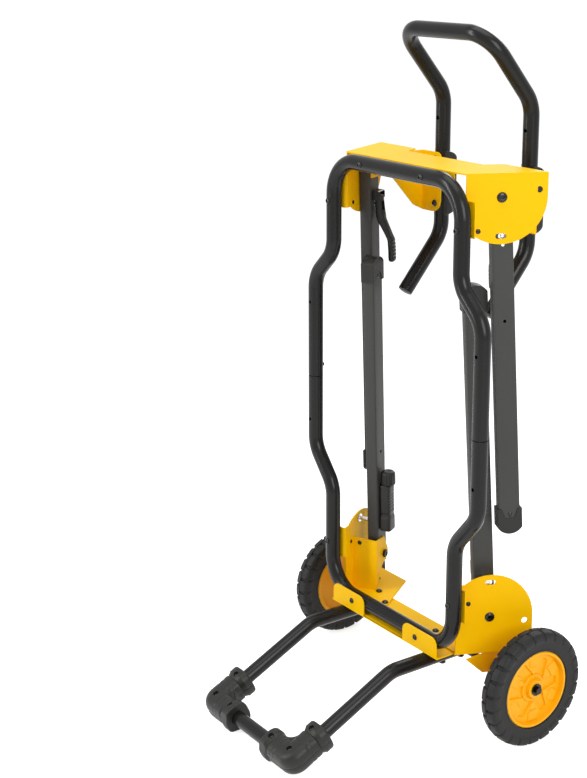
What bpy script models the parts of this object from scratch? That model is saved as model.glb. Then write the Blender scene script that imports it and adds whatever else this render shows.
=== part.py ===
"""Rolling folding stand for a table saw, standing upright on its wheels and toe bar.

Metres, +Z up, +X to the stand's right, +Y to its back. The origin is on the floor under the
middle of the stand's outline. The tube loop stands upright in one XZ plane, and every piece
hangs from an empty on the floor under that plane. Each corner plate stands turned outward
from the loop, with the pivots and locks of two folding legs. A plate's own frame has X across
the plate, Y backward along it and Z up.
"""
import bmesh
import bpy
from math import acos, atan2, cos, pi, radians, sin, tan
from mathutils import Matrix, Vector

# Driving sizes of the tube loop
TUBE_RADIUS = 0.0135
LOOP_NARROW = 0.171
LOOP_WIDE = 0.226
LOOP_TOP = 0.953
LOOP_BOTTOM = 0.153
SEAM_HEIGHT = 0.547
UPPER_JOG = (0.788, 0.735)
LOWER_JOG = (0.412, 0.347)
LOOP_CORNER_BEND = 0.062
LOOP_JOG_BEND = 0.055
SWAGE_RADIUS = 0.0117
SWAGE_LENGTH = 0.040
SWAGE_TAPER = 0.003

# Fits shared by many pieces
GAP = 0.0003
SHEET = 0.0025
OVERRUN = 0.004
HOLE_CLEARANCE = 0.0005
SLIVER = 0.000005

# Corner plates and leg pivots
PLATE_ANGLE = radians(25.8)
PLATE_FRONT_X = 0.157
PLATE_FRONT_Y = 0.0147
PLATE_RADIUS = 0.076
PIVOT_BACK = 0.062
UPPER_PIVOT = 0.9265
LOWER_PIVOT = 0.203
LOCK_DISTANCE = 0.063
OPEN_ANGLE = radians(100)
LEAN = radians(3.3)
PIVOT_RADIUS = 0.005
LOCK_HOLE_RADIUS = 0.0055
SLOT_LENGTH = 0.019
SLOT_RADIUS = 0.0045
SMALL_HOLE_RADIUS = 0.003
SMALL_HOLE_BACK = 0.024
SMALL_HOLE_RISE = 0.054
PLATE_NOTCH = 0.018
PLATE_LIP = 0.003
HUG_BOTTOM = 0.061
HUG_OUTER = 0.184
HUG_BEND = 0.004
HUG_OVERLAP = 0.003
HUG_STEP = 0.0002
PANEL_INSET = 0.0003
PIVOT_HEAD_RADIUS = 0.0085
PIVOT_HEAD_HEIGHT = 0.0035
PIVOT_NUT_RADIUS = 0.0075
PIVOT_NUT_HEIGHT = 0.005
HUG_TOP = 0.003

# Top panel
PANEL_RISE = 0.0125
PANEL_FRONT_HALF = 0.132
PANEL_WING_INNER = 0.115
PANEL_WING_BACK = 0.137
PANEL_MIDDLE_HALF = 0.098
PANEL_MIDDLE_BACK = 0.106
FRONT_FLANGE_DROP = 0.0255
GUSSET_X = 0.148
GUSSET_FRONT = 0.057
GUSSET_KNEE = (0.115, 0.908)
GUSSET_FOOT = (0.160, 0.858)
PAD_INNER = 0.097
PAD_TOP = 0.956
PAD_BOTTOM = 0.848
PAD_ROUND = 0.022
PAD_BACK_CLEARANCE = 0.0003
GUSSET_TOP_BACK = 0.150
BOLT_EAR_START = 0.046
BOLT_EAR_END = 0.080
BOLT_EAR_DROP = 0.0125

# Legs
LEG_WIDTH = 0.036
LEG_THICKNESS = 0.022
LEG_WALL = 0.0018
LEG_EDGE = 0.003
LEG_END_CLEARANCE = 0.1575
LEG_BEYOND_PIVOT = 0.020
LEG_RUN_CLEARANCE = 0.0006
LAYER_CLEARANCE = 0.0025
FOOT_WIDTH = 0.042
FOOT_PROUD = 0.0015
FOOT_BEYOND = 0.010
FOOT_ARC_DEPTH = 0.011
FOOT_OVERLAP = 0.035
FOOT_NOTCH_DEPTH = 0.0165
FOOT_NOTCH_HALF = 0.0150
FOOT_NOTCH_FLOOR_HALF = 0.0075
FOOT_NOTCH_ROUND = 0.002
FOOT_SCREW_INSET = 0.025
FOOT_SCREW_RADIUS = 0.0018
FOOT_SCREW_HEAD = 0.0040
FOOT_SCREW_HEAD_HEIGHT = 0.0012
LEG_HOLE_RADIUS = 0.0030
LEG_HOLE_ALONG = 0.205

# Release levers and lock pins
LEVER_HINGE_ALONG = 0.046
LEVER_HINGE_OUT = 0.009
LEVER_HINGE_RADIUS = 0.0022
LEVER_HALF = 0.0081
LEVER_EAR = 0.0020
LEVER_EAR_LENGTH = 0.006
LEVER_EAR_ROUND = 0.004
LEVER_WEB_BACK = 0.008
LEVER_START = 0.0405
LEVER_BODY_CLEARANCE = 0.0020
LEVER_BODY_OUT = 0.017
LEVER_BODY_END = 0.078
LEVER_NECK_END = 0.124
LEVER_GRIP_INNER = 0.0275
LEVER_GRIP_OUTER = 0.0385
LEVER_GRIP_HALF = 0.0095
LEVER_END = 0.167
LEVER_SLOT_HALF = 0.0055
LEVER_SLOT_HALF_LENGTH = 0.0085
LEVER_RIB_PITCH = 0.0085
LEVER_RIB_COUNT = 5
LEVER_RIB_RADIUS = 0.0012
LOCK_PIN_RADIUS = 0.0038
LOCK_TIP_CLEARANCE = 0.0003
LOCK_HEAD_RADIUS = 0.0046
LOCK_HEAD_HEIGHT = 0.0020
LOCK_HEAD_OUT = 0.012
LOCK_TRAVEL = 0.006

# Lock housings and knobs of the lower legs
HOUSING_START = 0.050
HOUSING_BLOCK_END = 0.078
HOUSING_END = 0.1425
HOUSING_BLOCK_HALF = 0.0135
HOUSING_HALF = 0.012
HOUSING_OUT = 0.0225
HOUSING_EDGE = 0.002
KNOB_OUT = 0.0144
KNOB_RADIUS = 0.0135
KNOB_END = 0.169
KNOB_EDGE = 0.002
KNOB_STEM_RADIUS = 0.005
KNOB_STEM_LENGTH = 0.022

# Bottom brackets
CROSS_HALF = 0.150
CROSS_BACK = 0.074
CROSS_EAR_INNER = 0.056
CROSS_EAR_OUTER = 0.147
CROSS_EAR_TOP = 0.170
CROSS_EAR_ROUND = 0.014
FLOOR_BACK_INNER = 0.125
FLOOR_FRONT_INNER = 0.048
FLOOR_FRONT = 0.022
WEB_BACK = 0.0335
WEB_TOP = 0.237
WEB_HOLE_RADIUS = 0.0025
WEB_HOLE_IN = 0.017
WEB_HOLE_HEIGHT = 0.228
INNER_EAR_ROUND = 0.017
INNER_EAR_BOTTOM = 0.172
INNER_EAR_KNEE = (0.044, 0.160)
SPACER_RADIUS = 0.009
AXLE_BOLT = (0.164, 0.100)
AXLE_EAR_X = 0.178
AXLE_EAR_FRONT = 0.024
AXLE_EAR_BACK = 0.122
AXLE_EAR_ROUND = 0.016
AXLE_EAR_KNEE = (0.062, 0.100)
AXLE_FLANGE_INNER = 0.154
AXLE_FLANGE_FRONT = 0.078

# Toe bar
TOE_RADIUS = 0.0127
TOE_X = 0.1166
TOE_BEND_Y = -0.088
TOE_CORNER_Y = -0.290
TOE_BACK_Y = 0.084
TOE_BEND = 0.055
ELBOW_RADIUS = 0.024
ELBOW_ARM = 0.066
ELBOW_COLLAR_RADIUS = 0.0255
ELBOW_COLLAR_LENGTH = 0.014
ELBOW_TUBE_STOP = 0.014
ELBOW_WEB = 0.050
ELBOW_WEB_THICKNESS = 0.016
ELBOW_SPLIT = 0.0006
ELBOW_SCREW_ALONG = 0.053
ELBOW_SCREW_RECESS = 0.0035
ELBOW_RECESS_RADIUS = 0.0048
ELBOW_REST_CUT = 0.0005
TOE_BOLT_Y = (0.025, 0.067)

# Wheels and axle
AXLE_Y = 0.092
WHEEL_RADIUS = 0.102
WHEEL_OUTER_X = 0.284
WHEEL_WIDTH = 0.033
RIM_RADIUS = 0.067
AXLE_RADIUS = 0.006
AXLE_END = 0.288
HUB_BOSS_RADIUS = 0.016
HUB_WEB = 0.007
HUB_RIM_WALL = 0.007
HUB_DISH = 0.004
HUB_EDGE = 0.002
SPACER_START = 0.1800
AXLE_SPACER_RADIUS = 0.010
CLIP_RADIUS = 0.0105
CLIP_WIDTH = 0.0022
TYRE_SHOULDER = 0.006
TYRE_SEAT = 0.003

# Handle
HANDLE_X = 0.112
HANDLE_Y = 0.197
HANDLE_TOP_Y = 0.098
HANDLE_TOP = 1.178
HANDLE_UPPER_BEND = 1.061
HANDLE_LOWER_BEND = 0.810
HANDLE_END_Y = 0.116
HANDLE_END = 0.712
HANDLE_BEND = 0.060
HANDLE_CORNER_BEND = 0.048
HANDLE_HOLE = 1.0165
GUIDE_WALL = 0.0035
HANDLE_HOLE_RADIUS = 0.0038
HANDLE_CAP_LENGTH = 0.003
HANDLE_PLUG_RADIUS = 0.0095
HANDLE_PLUG_LENGTH = 0.014
GUIDE_BACK = 0.032
GUIDE_TOP = 0.958
GUIDE_BOTTOM = 0.842
GUIDE_EDGE = 0.006
GUIDE_BOLT_HEIGHTS = (0.864, 0.944)

# Screw sizes
SCREW_RADIUS = 0.0025
SCREW_HEAD_RADIUS = 0.0052
SCREW_HEAD_HEIGHT = 0.0026
SMALL_SCREW_RADIUS = 0.0020
SMALL_HEAD_RADIUS = 0.0036
SMALL_HEAD_HEIGHT = 0.0018
BOLT_RADIUS = 0.0035
BOLT_HEAD_RADIUS = 0.0060
BOLT_HEAD_HEIGHT = 0.0035

# Places along the loop
UPRIGHT_SCREWS = (0.879, 0.241)
TOP_BAR_SCREW_X = 0.081
MOUNT_HOLES = (0.686, 0.464)
MOUNT_HOLE_RADIUS = 0.0033
SEAM_SCREW_RISE = 0.020
EAR_SCREW_X = 0.0907
CROSS_BOLT = (0.072, 0.0465)

SEAM_SCREW_DEPTH = 0.0012
CROSS_NUT_RADIUS = 0.0060

# Shares of a screw head's radius and height
HEAD_FLAT_SHARE = 0.6
HEAD_EDGE_SHARE = 0.45

# Counts
PLATE_ARC_STEPS = 26
FOOT_ARC_STEPS = 16
BEND_STEP = radians(22.5)
TUBE_RESOLUTION = 4
ROUND_SIDES = 12
BORE_SIDES = 16
SCREW_SIDES = 8
WHEEL_SIDES = 32

# Worked out from the sizes above
PANEL_TOP = LOOP_TOP + PANEL_RISE
BEHIND_TUBE = TUBE_RADIUS + GAP
OUTER_LEG = SHEET + LEG_RUN_CLEARANCE
INNER_LEG = OUTER_LEG + LEG_THICKNESS + LAYER_CLEARANCE
FLOOR_TOP = LOOP_BOTTOM - TUBE_RADIUS - GAP
CROSS_TOP = FLOOR_TOP - SHEET - GAP
TOE_HEIGHT = CROSS_TOP - SHEET - GAP - TOE_RADIUS
LEG_TUBE = UPPER_PIVOT - LOWER_PIVOT - LEG_END_CLEARANCE
FOOT_START = LEG_TUBE - FOOT_OVERLAP
FOOT_END = LEG_TUBE + FOOT_BEYOND
FOOT_SCREW_ALONG = LEG_TUBE - FOOT_SCREW_INSET
TOE_CORNER_Z = ELBOW_RADIUS - ELBOW_REST_CUT
TOE_SLOPE = atan2(TOE_HEIGHT - TOE_CORNER_Z, TOE_BEND_Y - TOE_CORNER_Y)
STAND_FRONT = TOE_CORNER_Y - ELBOW_RADIUS
STAND_BACK = HANDLE_Y + GUIDE_BACK
PAD_Y = HANDLE_Y - TUBE_RADIUS - PAD_BACK_CLEARANCE - GAP - SHEET / 2
LOOP_Y = -(STAND_FRONT + STAND_BACK) / 2

for old in list(bpy.data.objects):
    bpy.data.objects.remove(old, do_unlink=True)

parts = bpy.data.collections.new("table_saw_stand")
bpy.context.scene.collection.children.link(parts)


def material(name, colour, roughness, metallic=0.0):
    """A plain Principled material."""
    made = bpy.data.materials.new(name)
    made.use_nodes = True
    shader = made.node_tree.nodes["Principled BSDF"]
    shader.inputs["Base Color"].default_value = (*colour, 1.0)
    shader.inputs["Roughness"].default_value = roughness
    shader.inputs["Metallic"].default_value = metallic
    return made


BLACK_STEEL = material("black_powder_coat", (0.045, 0.045, 0.042), 0.38)
GREY_STEEL = material("grey_powder_coat", (0.085, 0.085, 0.082), 0.45)
YELLOW_STEEL = material("yellow_powder_coat", (0.95, 0.62, 0.03), 0.35)
YELLOW_PLASTIC = material("yellow_plastic", (0.95, 0.50, 0.03), 0.40)
BLACK_PLASTIC = material("black_plastic", (0.035, 0.035, 0.034), 0.55)
RUBBER = material("tyre_rubber", (0.028, 0.028, 0.028), 0.80)
DARK_STEEL = material("dark_fastener", (0.03, 0.03, 0.03), 0.30, 0.6)
ZINC = material("zinc_plate", (0.65, 0.66, 0.67), 0.30, 1.0)


def empty(name, parent=None, place=(0, 0, 0), turn=(0, 0, 0)):
    """A frame that pieces are parented to."""
    made = bpy.data.objects.new(name, None)
    parts.objects.link(made)
    made.parent = parent
    made.location = place
    made.rotation_euler = turn
    return made


def from_mesh(name, mesh):
    """An unparented object from a mesh."""
    made = bpy.data.objects.new(name, mesh)
    parts.objects.link(made)
    return made


def finish(piece, name, look, parent, place=(0, 0, 0), turn=(0, 0, 0)):
    """Name a shape, give it its material and its place under a frame."""
    piece.name = name
    piece.data.name = name
    piece.data.materials.clear()
    piece.data.materials.append(look)
    piece.parent = parent
    piece.location = place
    piece.rotation_euler = turn
    piece.data.shade_smooth()
    piece.data.set_sharp_from_angle(angle=radians(32))
    return piece


def bake(piece):
    """Replace an object by a mesh with its modifiers and its transform in it."""
    graph = bpy.context.evaluated_depsgraph_get()
    mesh = bpy.data.meshes.new_from_object(piece.evaluated_get(graph))
    mesh.transform(piece.matrix_world)
    made = from_mesh(piece.name, mesh)
    bpy.data.objects.remove(piece, do_unlink=True)
    return made


def weld(piece, distance=SLIVER):
    """Join the loose caps and seams of a mesh."""
    work = bmesh.new()
    work.from_mesh(piece.data)
    bmesh.ops.remove_doubles(work, verts=work.verts, dist=distance)
    bmesh.ops.dissolve_degenerate(work, edges=work.edges, dist=distance)
    bmesh.ops.recalc_face_normals(work, faces=work.faces)
    work.to_mesh(piece.data)
    work.free()
    return piece


def combine(piece, tool, how):
    """Apply a Boolean with another shape, which is used up."""
    change = piece.modifiers.new("shape", "BOOLEAN")
    change.operation = how
    change.solver = "EXACT"
    change.object = tool
    bpy.context.view_layer.update()
    graph = bpy.context.evaluated_depsgraph_get()
    mesh = bpy.data.meshes.new_from_object(piece.evaluated_get(graph))
    piece.modifiers.clear()
    piece.data = mesh
    bpy.data.objects.remove(tool, do_unlink=True)
    return weld(piece, SLIVER)


def join(piece, *tools):
    """Boolean union."""
    for tool in tools:
        combine(piece, tool, "UNION")
    return piece


def cut(piece, *tools):
    """Boolean difference."""
    for tool in tools:
        combine(piece, tool, "DIFFERENCE")
    return piece


def moved(piece, matrix):
    """Move a shape's mesh, mending its faces if the move mirrors it."""
    piece.data.transform(matrix)
    if matrix.determinant() < 0:
        piece.data.flip_normals()
    return piece


def box(low, high, edge=0.0, segments=2):
    """A box between two corners, its edges rounded."""
    low, high = Vector(low), Vector(high)
    bpy.ops.mesh.primitive_cube_add(size=1, location=(low + high) / 2)
    made = bpy.context.object
    made.scale = high - low
    bpy.ops.object.transform_apply(location=True, rotation=True, scale=True)
    if edge:
        change = made.modifiers.new("edges", "BEVEL")
        change.width = edge
        change.segments = segments
        change.limit_method = "NONE"
        bpy.context.view_layer.update()
        made = bake(made)
    parts_only(made)
    return made


def parts_only(piece):
    """Keep a new object in the stand's collection alone."""
    for home in list(piece.users_collection):
        if home is not parts:
            home.objects.unlink(piece)
    if parts not in piece.users_collection:
        parts.objects.link(piece)


def rod(start, end, radius, sides=ROUND_SIDES, turn=0.0):
    """A cylinder between two points."""
    start, end = Vector(start), Vector(end)
    bpy.ops.mesh.primitive_cylinder_add(vertices=sides, radius=radius, depth=(end - start).length)
    made = bpy.context.object
    lie = (end - start).to_track_quat("Z", "Y").to_matrix().to_4x4()
    made.data.transform(Matrix.Translation((start + end) / 2) @ lie @ Matrix.Rotation(turn, 4, "Z"))
    parts_only(made)
    return made


def turned(profile, sides, matrix=Matrix()):
    """A solid of revolution about Z from (radius, height) points, top to bottom outside."""
    mesh = bpy.data.meshes.new("profile")
    points = [(radius, 0, height) for radius, height in profile]
    mesh.from_pydata(points, [(i, i + 1) for i in range(len(points) - 1)], [])
    made = from_mesh("turned", mesh)
    spin = made.modifiers.new("turn", "SCREW")
    spin.steps = sides
    spin.render_steps = sides
    spin.use_merge_vertices = True
    spin.merge_threshold = SLIVER
    bpy.context.view_layer.update()
    made = weld(bake(made))
    return moved(made, matrix)


def fillet(points, radii):
    """Round the corners of a path: each inner point becomes an arc of its radius."""
    points = [Vector(point) for point in points]
    path = [points[0]]
    for index in range(1, len(points) - 1):
        before = (points[index - 1] - points[index]).normalized()
        after = (points[index + 1] - points[index]).normalized()
        swing = pi - before.angle(after)
        radius = radii if not isinstance(radii, (list, tuple)) else radii[index - 1]
        if radius == 0:
            path.append(points[index])
            continue
        tangent = radius * tan(swing / 2)
        middle = (before + after).normalized()
        centre = points[index] + middle * (radius / cos(swing / 2))
        start = points[index] + before * tangent - centre
        finish_arm = points[index] + after * tangent - centre
        steps = max(2, round(swing / BEND_STEP))
        for step in range(steps + 1):
            share = step / steps
            arm = start * sin((1 - share) * swing) + finish_arm * sin(share * swing)
            path.append(centre + arm / sin(swing))
    path.append(points[-1])
    return path


def rounded(points, radii):
    """Round every corner of a closed outline."""
    points = [Vector((*point, 0)) for point in points]
    count = len(points)
    radii = list(radii) if isinstance(radii, (list, tuple)) else [radii] * count
    outline = []
    for index in range(count):
        three = [points[index - 1], points[index], points[(index + 1) % count]]
        outline += fillet(three, [radii[index]])[1:-1]
    return [(point.x, point.y) for point in outline]


def tube(path, radius, shares=None, resolution=TUBE_RESOLUTION):
    """A round bar along a path, from a curve with filled caps."""
    curve = bpy.data.curves.new("tube", "CURVE")
    curve.dimensions = "3D"
    curve.bevel_depth = radius
    curve.bevel_resolution = resolution
    curve.use_fill_caps = True
    line = curve.splines.new("POLY")
    line.points.add(len(path) - 1)
    for index, point in enumerate(path):
        line.points[index].co = (*point, 1)
        line.points[index].radius = shares[index] if shares else 1
    made = from_mesh("tube", curve)
    bpy.context.view_layer.update()
    return weld(bake(made))


def plate(outline, thickness, matrix=Matrix()):
    """A flat outline in XY, its thickness centred on the plane, moved by a matrix."""
    curve = bpy.data.curves.new("plate", "CURVE")
    curve.dimensions = "2D"
    curve.fill_mode = "BOTH"
    curve.extrude = thickness / 2
    line = curve.splines.new("POLY")
    line.points.add(len(outline) - 1)
    for index, point in enumerate(outline):
        line.points[index].co = (point[0], point[1], 0, 1)
    line.use_cyclic_u = True
    made = from_mesh("plate", curve)
    bpy.context.view_layer.update()
    return moved(weld(bake(made)), matrix)


def facing_x(x):
    """Maps an outline's (u, v) to (y, z) at a given x."""
    return Matrix(((0, 0, 1, x), (1, 0, 0, 0), (0, 1, 0, 0), (0, 0, 0, 1)))


def facing_y(y):
    """Maps an outline's (u, v) to (x, z) at a given y."""
    return Matrix(((1, 0, 0, 0), (0, 0, -1, y), (0, 1, 0, 0), (0, 0, 0, 1)))


def facing_z(z):
    """Lifts an outline to a given z."""
    return Matrix.Translation((0, 0, z))


def ribbon(path, thickness, low, high):
    """A bent strip of sheet standing on edge: a centre line in XY between two heights."""
    path = [Vector((*point, 0)) for point in path]
    left, right = [], []
    for index, point in enumerate(path):
        ahead = (path[min(index + 1, len(path) - 1)] - path[max(index - 1, 0)]).normalized()
        side = Vector((-ahead.y, ahead.x, 0)) * (thickness / 2)
        left.append(point + side)
        right.append(point - side)
    outline = [(point.x, point.y) for point in left + right[::-1]]
    return plate(outline, high - low, facing_z((low + high) / 2))


def disc(centre, radius, start, end, sides):
    """Points of an arc from one angle to another."""
    points = []
    for step in range(sides + 1):
        angle = start + (end - start) * step / sides
        points.append((centre[0] + radius * cos(angle), centre[1] + radius * sin(angle)))
    return points


def fastener(length, shank, head, height, nut=0.0, nut_height=0.0, sides=SCREW_SIDES):
    """A button head above Z zero and a shank below it, with a nut at the far end if given."""
    dome = [(0, height), (head * HEAD_FLAT_SHARE, height), (head, height * HEAD_EDGE_SHARE), (head, 0)]
    if nut:
        tail = [(shank, 0), (shank, -length), (nut, -length), (nut, -length - nut_height),
                (0, -length - nut_height)]
    else:
        tail = [(shank, 0), (shank, -length), (0, -length)]
    return turned(dome + tail, sides)


def aimed(piece, place, direction):
    """Turn a shape's +Z to a direction and move it to a place."""
    lie = Vector(direction).to_track_quat("Z", "Y").to_matrix().to_4x4()
    return moved(piece, Matrix.Translation(place) @ lie)


stand = empty("loop_frame", place=(0, LOOP_Y, 0))
SIDES = {"left": -1, "right": 1}
plate_frames = {}
for side_name, side in SIDES.items():
    plate_frames[side_name] = empty("plate_frame_" + side_name, stand,
                                    (side * PLATE_FRONT_X, PLATE_FRONT_Y, 0),
                                    (0, 0, -side * PLATE_ANGLE))


def plate_matrix(side):
    """A corner plate's frame in the loop's frame."""
    place = Matrix.Translation((side * PLATE_FRONT_X, PLATE_FRONT_Y, 0))
    return place @ Matrix.Rotation(-side * PLATE_ANGLE, 4, "Z")


# Tube loop
def loop_holes(heights, spread):
    """Cutters through both uprights from front to back."""
    cutters = []
    for height, radius in heights:
        for side in SIDES.values():
            start = (side * spread, -TUBE_RADIUS - OVERRUN, height)
            end = (side * spread, TUBE_RADIUS + OVERRUN, height)
            cutters.append(rod(start, end, radius, SCREW_SIDES))
    return cutters


def seam_screw_places():
    """Each seam screw's point on the tube's back."""
    return [(side * LOOP_WIDE, TUBE_RADIUS, SEAM_HEIGHT + SEAM_SCREW_RISE) for side in SIDES.values()]


def frame_upper_loop():
    """Top half of the loop: a bent tube open at the bottom, bored for the lower half."""
    half = [(LOOP_NARROW, UPPER_JOG[0]), (LOOP_WIDE, UPPER_JOG[1]), (LOOP_WIDE, SEAM_HEIGHT)]
    right = [(x, 0, z) for x, z in [(LOOP_NARROW, LOOP_TOP)] + half]
    left = [(-x, y, z) for x, y, z in right[::-1]]
    bends = [LOOP_JOG_BEND, LOOP_JOG_BEND, LOOP_CORNER_BEND]
    made = tube(fillet(left + right, bends + bends[::-1]), TUBE_RADIUS)
    bore = SWAGE_RADIUS + GAP
    for side in SIDES.values():
        x = side * LOOP_WIDE
        cut(made, rod((x, 0, SEAM_HEIGHT - OVERRUN), (x, 0, SEAM_HEIGHT + SWAGE_LENGTH + GAP), bore,
                      BORE_SIDES))
    through = SCREW_RADIUS + HOLE_CLEARANCE
    cut(made, *loop_holes([(UPRIGHT_SCREWS[0], through)], LOOP_NARROW))
    cut(made, *loop_holes([(MOUNT_HOLES[0], MOUNT_HOLE_RADIUS)], LOOP_WIDE))
    cut(made, *loop_holes([(LOOP_TOP, through)], TOP_BAR_SCREW_X))
    for x, y, z in seam_screw_places():
        screw = fastener(SEAM_SCREW_DEPTH, SMALL_SCREW_RADIUS, SMALL_HEAD_RADIUS, SMALL_HEAD_HEIGHT)
        join(made, aimed(screw, (x, y - HUG_STEP, z), (0, 1, 0)))
    return finish(made, "frame_upper_loop", BLACK_STEEL, stand)


def frame_lower_loop():
    """Bottom half of the loop, its ends swaged to plug into the upper half."""
    seam = SEAM_HEIGHT - GAP
    half = [(LOOP_WIDE, LOWER_JOG[0]), (LOOP_NARROW, LOWER_JOG[1]), (LOOP_NARROW, LOOP_BOTTOM)]
    tip = SEAM_HEIGHT + SWAGE_LENGTH
    right = [(LOOP_WIDE, 0, seam - SWAGE_TAPER)] + [(x, 0, z) for x, z in half]
    left = [(-x, y, z) for x, y, z in right[::-1]]
    bends = [LOOP_JOG_BEND, LOOP_JOG_BEND, LOOP_CORNER_BEND]
    body = fillet(right + left, bends + bends[::-1])
    first = [Vector((LOOP_WIDE, 0, tip)), Vector((LOOP_WIDE, 0, seam))]
    last = [Vector((-LOOP_WIDE, 0, seam)), Vector((-LOOP_WIDE, 0, tip))]
    neck_share = SWAGE_RADIUS / TUBE_RADIUS
    shares = [neck_share] * 2 + [1] * len(body) + [neck_share] * 2
    made = tube(first + body + last, TUBE_RADIUS, shares)
    through = SCREW_RADIUS + HOLE_CLEARANCE
    cut(made, *loop_holes([(UPRIGHT_SCREWS[1], through)], LOOP_NARROW))
    cut(made, *loop_holes([(MOUNT_HOLES[1], MOUNT_HOLE_RADIUS)], LOOP_WIDE))
    cut(made, *loop_holes([(LOOP_BOTTOM, through)], EAR_SCREW_X))
    return finish(made, "frame_lower_loop", BLACK_STEEL, stand)


def loop_screws():
    """Screws through the loop: uprights, top bar and the strip's ears, their nuts behind."""
    places = [("upright_screw_top", LOOP_NARROW, UPRIGHT_SCREWS[0], 0),
              ("upright_screw_bottom", LOOP_NARROW, UPRIGHT_SCREWS[1], 0),
              ("top_bar_screw", TOP_BAR_SCREW_X, LOOP_TOP, 0),
              ("strip_screw", EAR_SCREW_X, LOOP_BOTTOM, 1)]
    for name, x, z, ears in places:
        for side_name, side in SIDES.items():
            grip = 2 * (TUBE_RADIUS + GAP) + SHEET + GAP
            screw = fastener(grip, SCREW_RADIUS, SCREW_HEAD_RADIUS, SCREW_HEAD_HEIGHT,
                             SCREW_HEAD_RADIUS, SCREW_HEAD_HEIGHT)
            face = -BEHIND_TUBE - ears * (SHEET + GAP)
            finish(screw, name + "_" + side_name, DARK_STEEL, stand, (side * x, face, z),
                   (pi / 2, 0, 0))


def mirrored(piece, side):
    """A right-hand shape as it is, or its mirror image for the left."""
    if side < 0:
        moved(piece, Matrix.Scale(-1, 4, (1, 0, 0)))
    return piece


def plane_rod(u_low, u_high, back, height, radius, sides=ROUND_SIDES):
    """A cylinder across a corner plate, u being the distance inboard of its outer face."""
    return rod((-u_low, back, height), (-u_high, back, height), radius, sides)


RIGHT = plate_matrix(1)


def splayed_plate(pivot, level, edge):
    """A right corner plate and its hug flange in the loop's frame: level 1 top, -1 bottom."""
    back = PIVOT_BACK + PLATE_RADIUS
    sweep_end = pi - acos((PIVOT_BACK - PLATE_NOTCH) / PLATE_RADIUS)
    arc = disc((PIVOT_BACK, 0), PLATE_RADIUS, 0, -sweep_end, PLATE_ARC_STEPS)
    points = [(y, pivot + level * z) for y, z in arc]
    step = pivot - level * HUG_TOP
    points += [(PLATE_NOTCH, step), (PLATE_LIP, step), (PLATE_LIP, edge), (back, edge)]
    made = moved(plate(points, SHEET, facing_x(-SHEET / 2)), RIGHT)
    face = BEHIND_TUBE + SHEET / 2
    start = RIGHT @ Vector((-SHEET / 2, 0, 0))
    run = RIGHT.to_3x3() @ Vector((0, 1, 0))
    corner = start + run * ((face - start.y) / run.y)
    inner = start + run * (PLATE_NOTCH + HUG_OVERLAP)
    path = fillet([Vector((HUG_OUTER, face, 0)), corner, inner], HUG_BEND)
    low, high = sorted((pivot - level * HUG_BOTTOM, pivot - level * HUG_TOP))
    strip = ribbon([(point.x, point.y) for point in path], SHEET - HUG_STEP, low, high)
    return join(made, strip)


def plate_cuts(pivot, level, small):
    """Cutters for a right corner plate's pivot, lock holes, rest slot and small hole."""
    angle = OPEN_ANGLE
    lock = (PIVOT_BACK + LOCK_DISTANCE * sin(angle), pivot - level * LOCK_DISTANCE * cos(angle))
    slot = [(PIVOT_BACK + step * (SLOT_LENGTH / 2 - SLOT_RADIUS), pivot - level * LOCK_DISTANCE)
            for step in (-1, 1)]
    shapes = [plane_rod(-OVERRUN, SHEET + OVERRUN, PIVOT_BACK, pivot, PIVOT_RADIUS + HOLE_CLEARANCE),
              plane_rod(-OVERRUN, SHEET + OVERRUN, *lock, LOCK_HOLE_RADIUS),
              plane_rod(-OVERRUN, SHEET + OVERRUN, *small, SMALL_HOLE_RADIUS, SCREW_SIDES)]
    for place in slot:
        shapes.append(plane_rod(-OVERRUN, SHEET + OVERRUN, *place, SLOT_RADIUS, SCREW_SIDES))
    low = (-SHEET - OVERRUN, slot[0][0], slot[0][1] - SLOT_RADIUS)
    high = (OVERRUN, slot[1][0], slot[1][1] + SLOT_RADIUS)
    shapes.append(box(low, high))
    return [moved(shape, RIGHT) for shape in shapes]


def both_sides(shapes_of):
    """The same right-hand shapes for both sides, the left ones mirrored."""
    shapes = []
    for side in SIDES.values():
        shapes += [mirrored(shape, side) for shape in shapes_of()]
    return shapes


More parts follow.
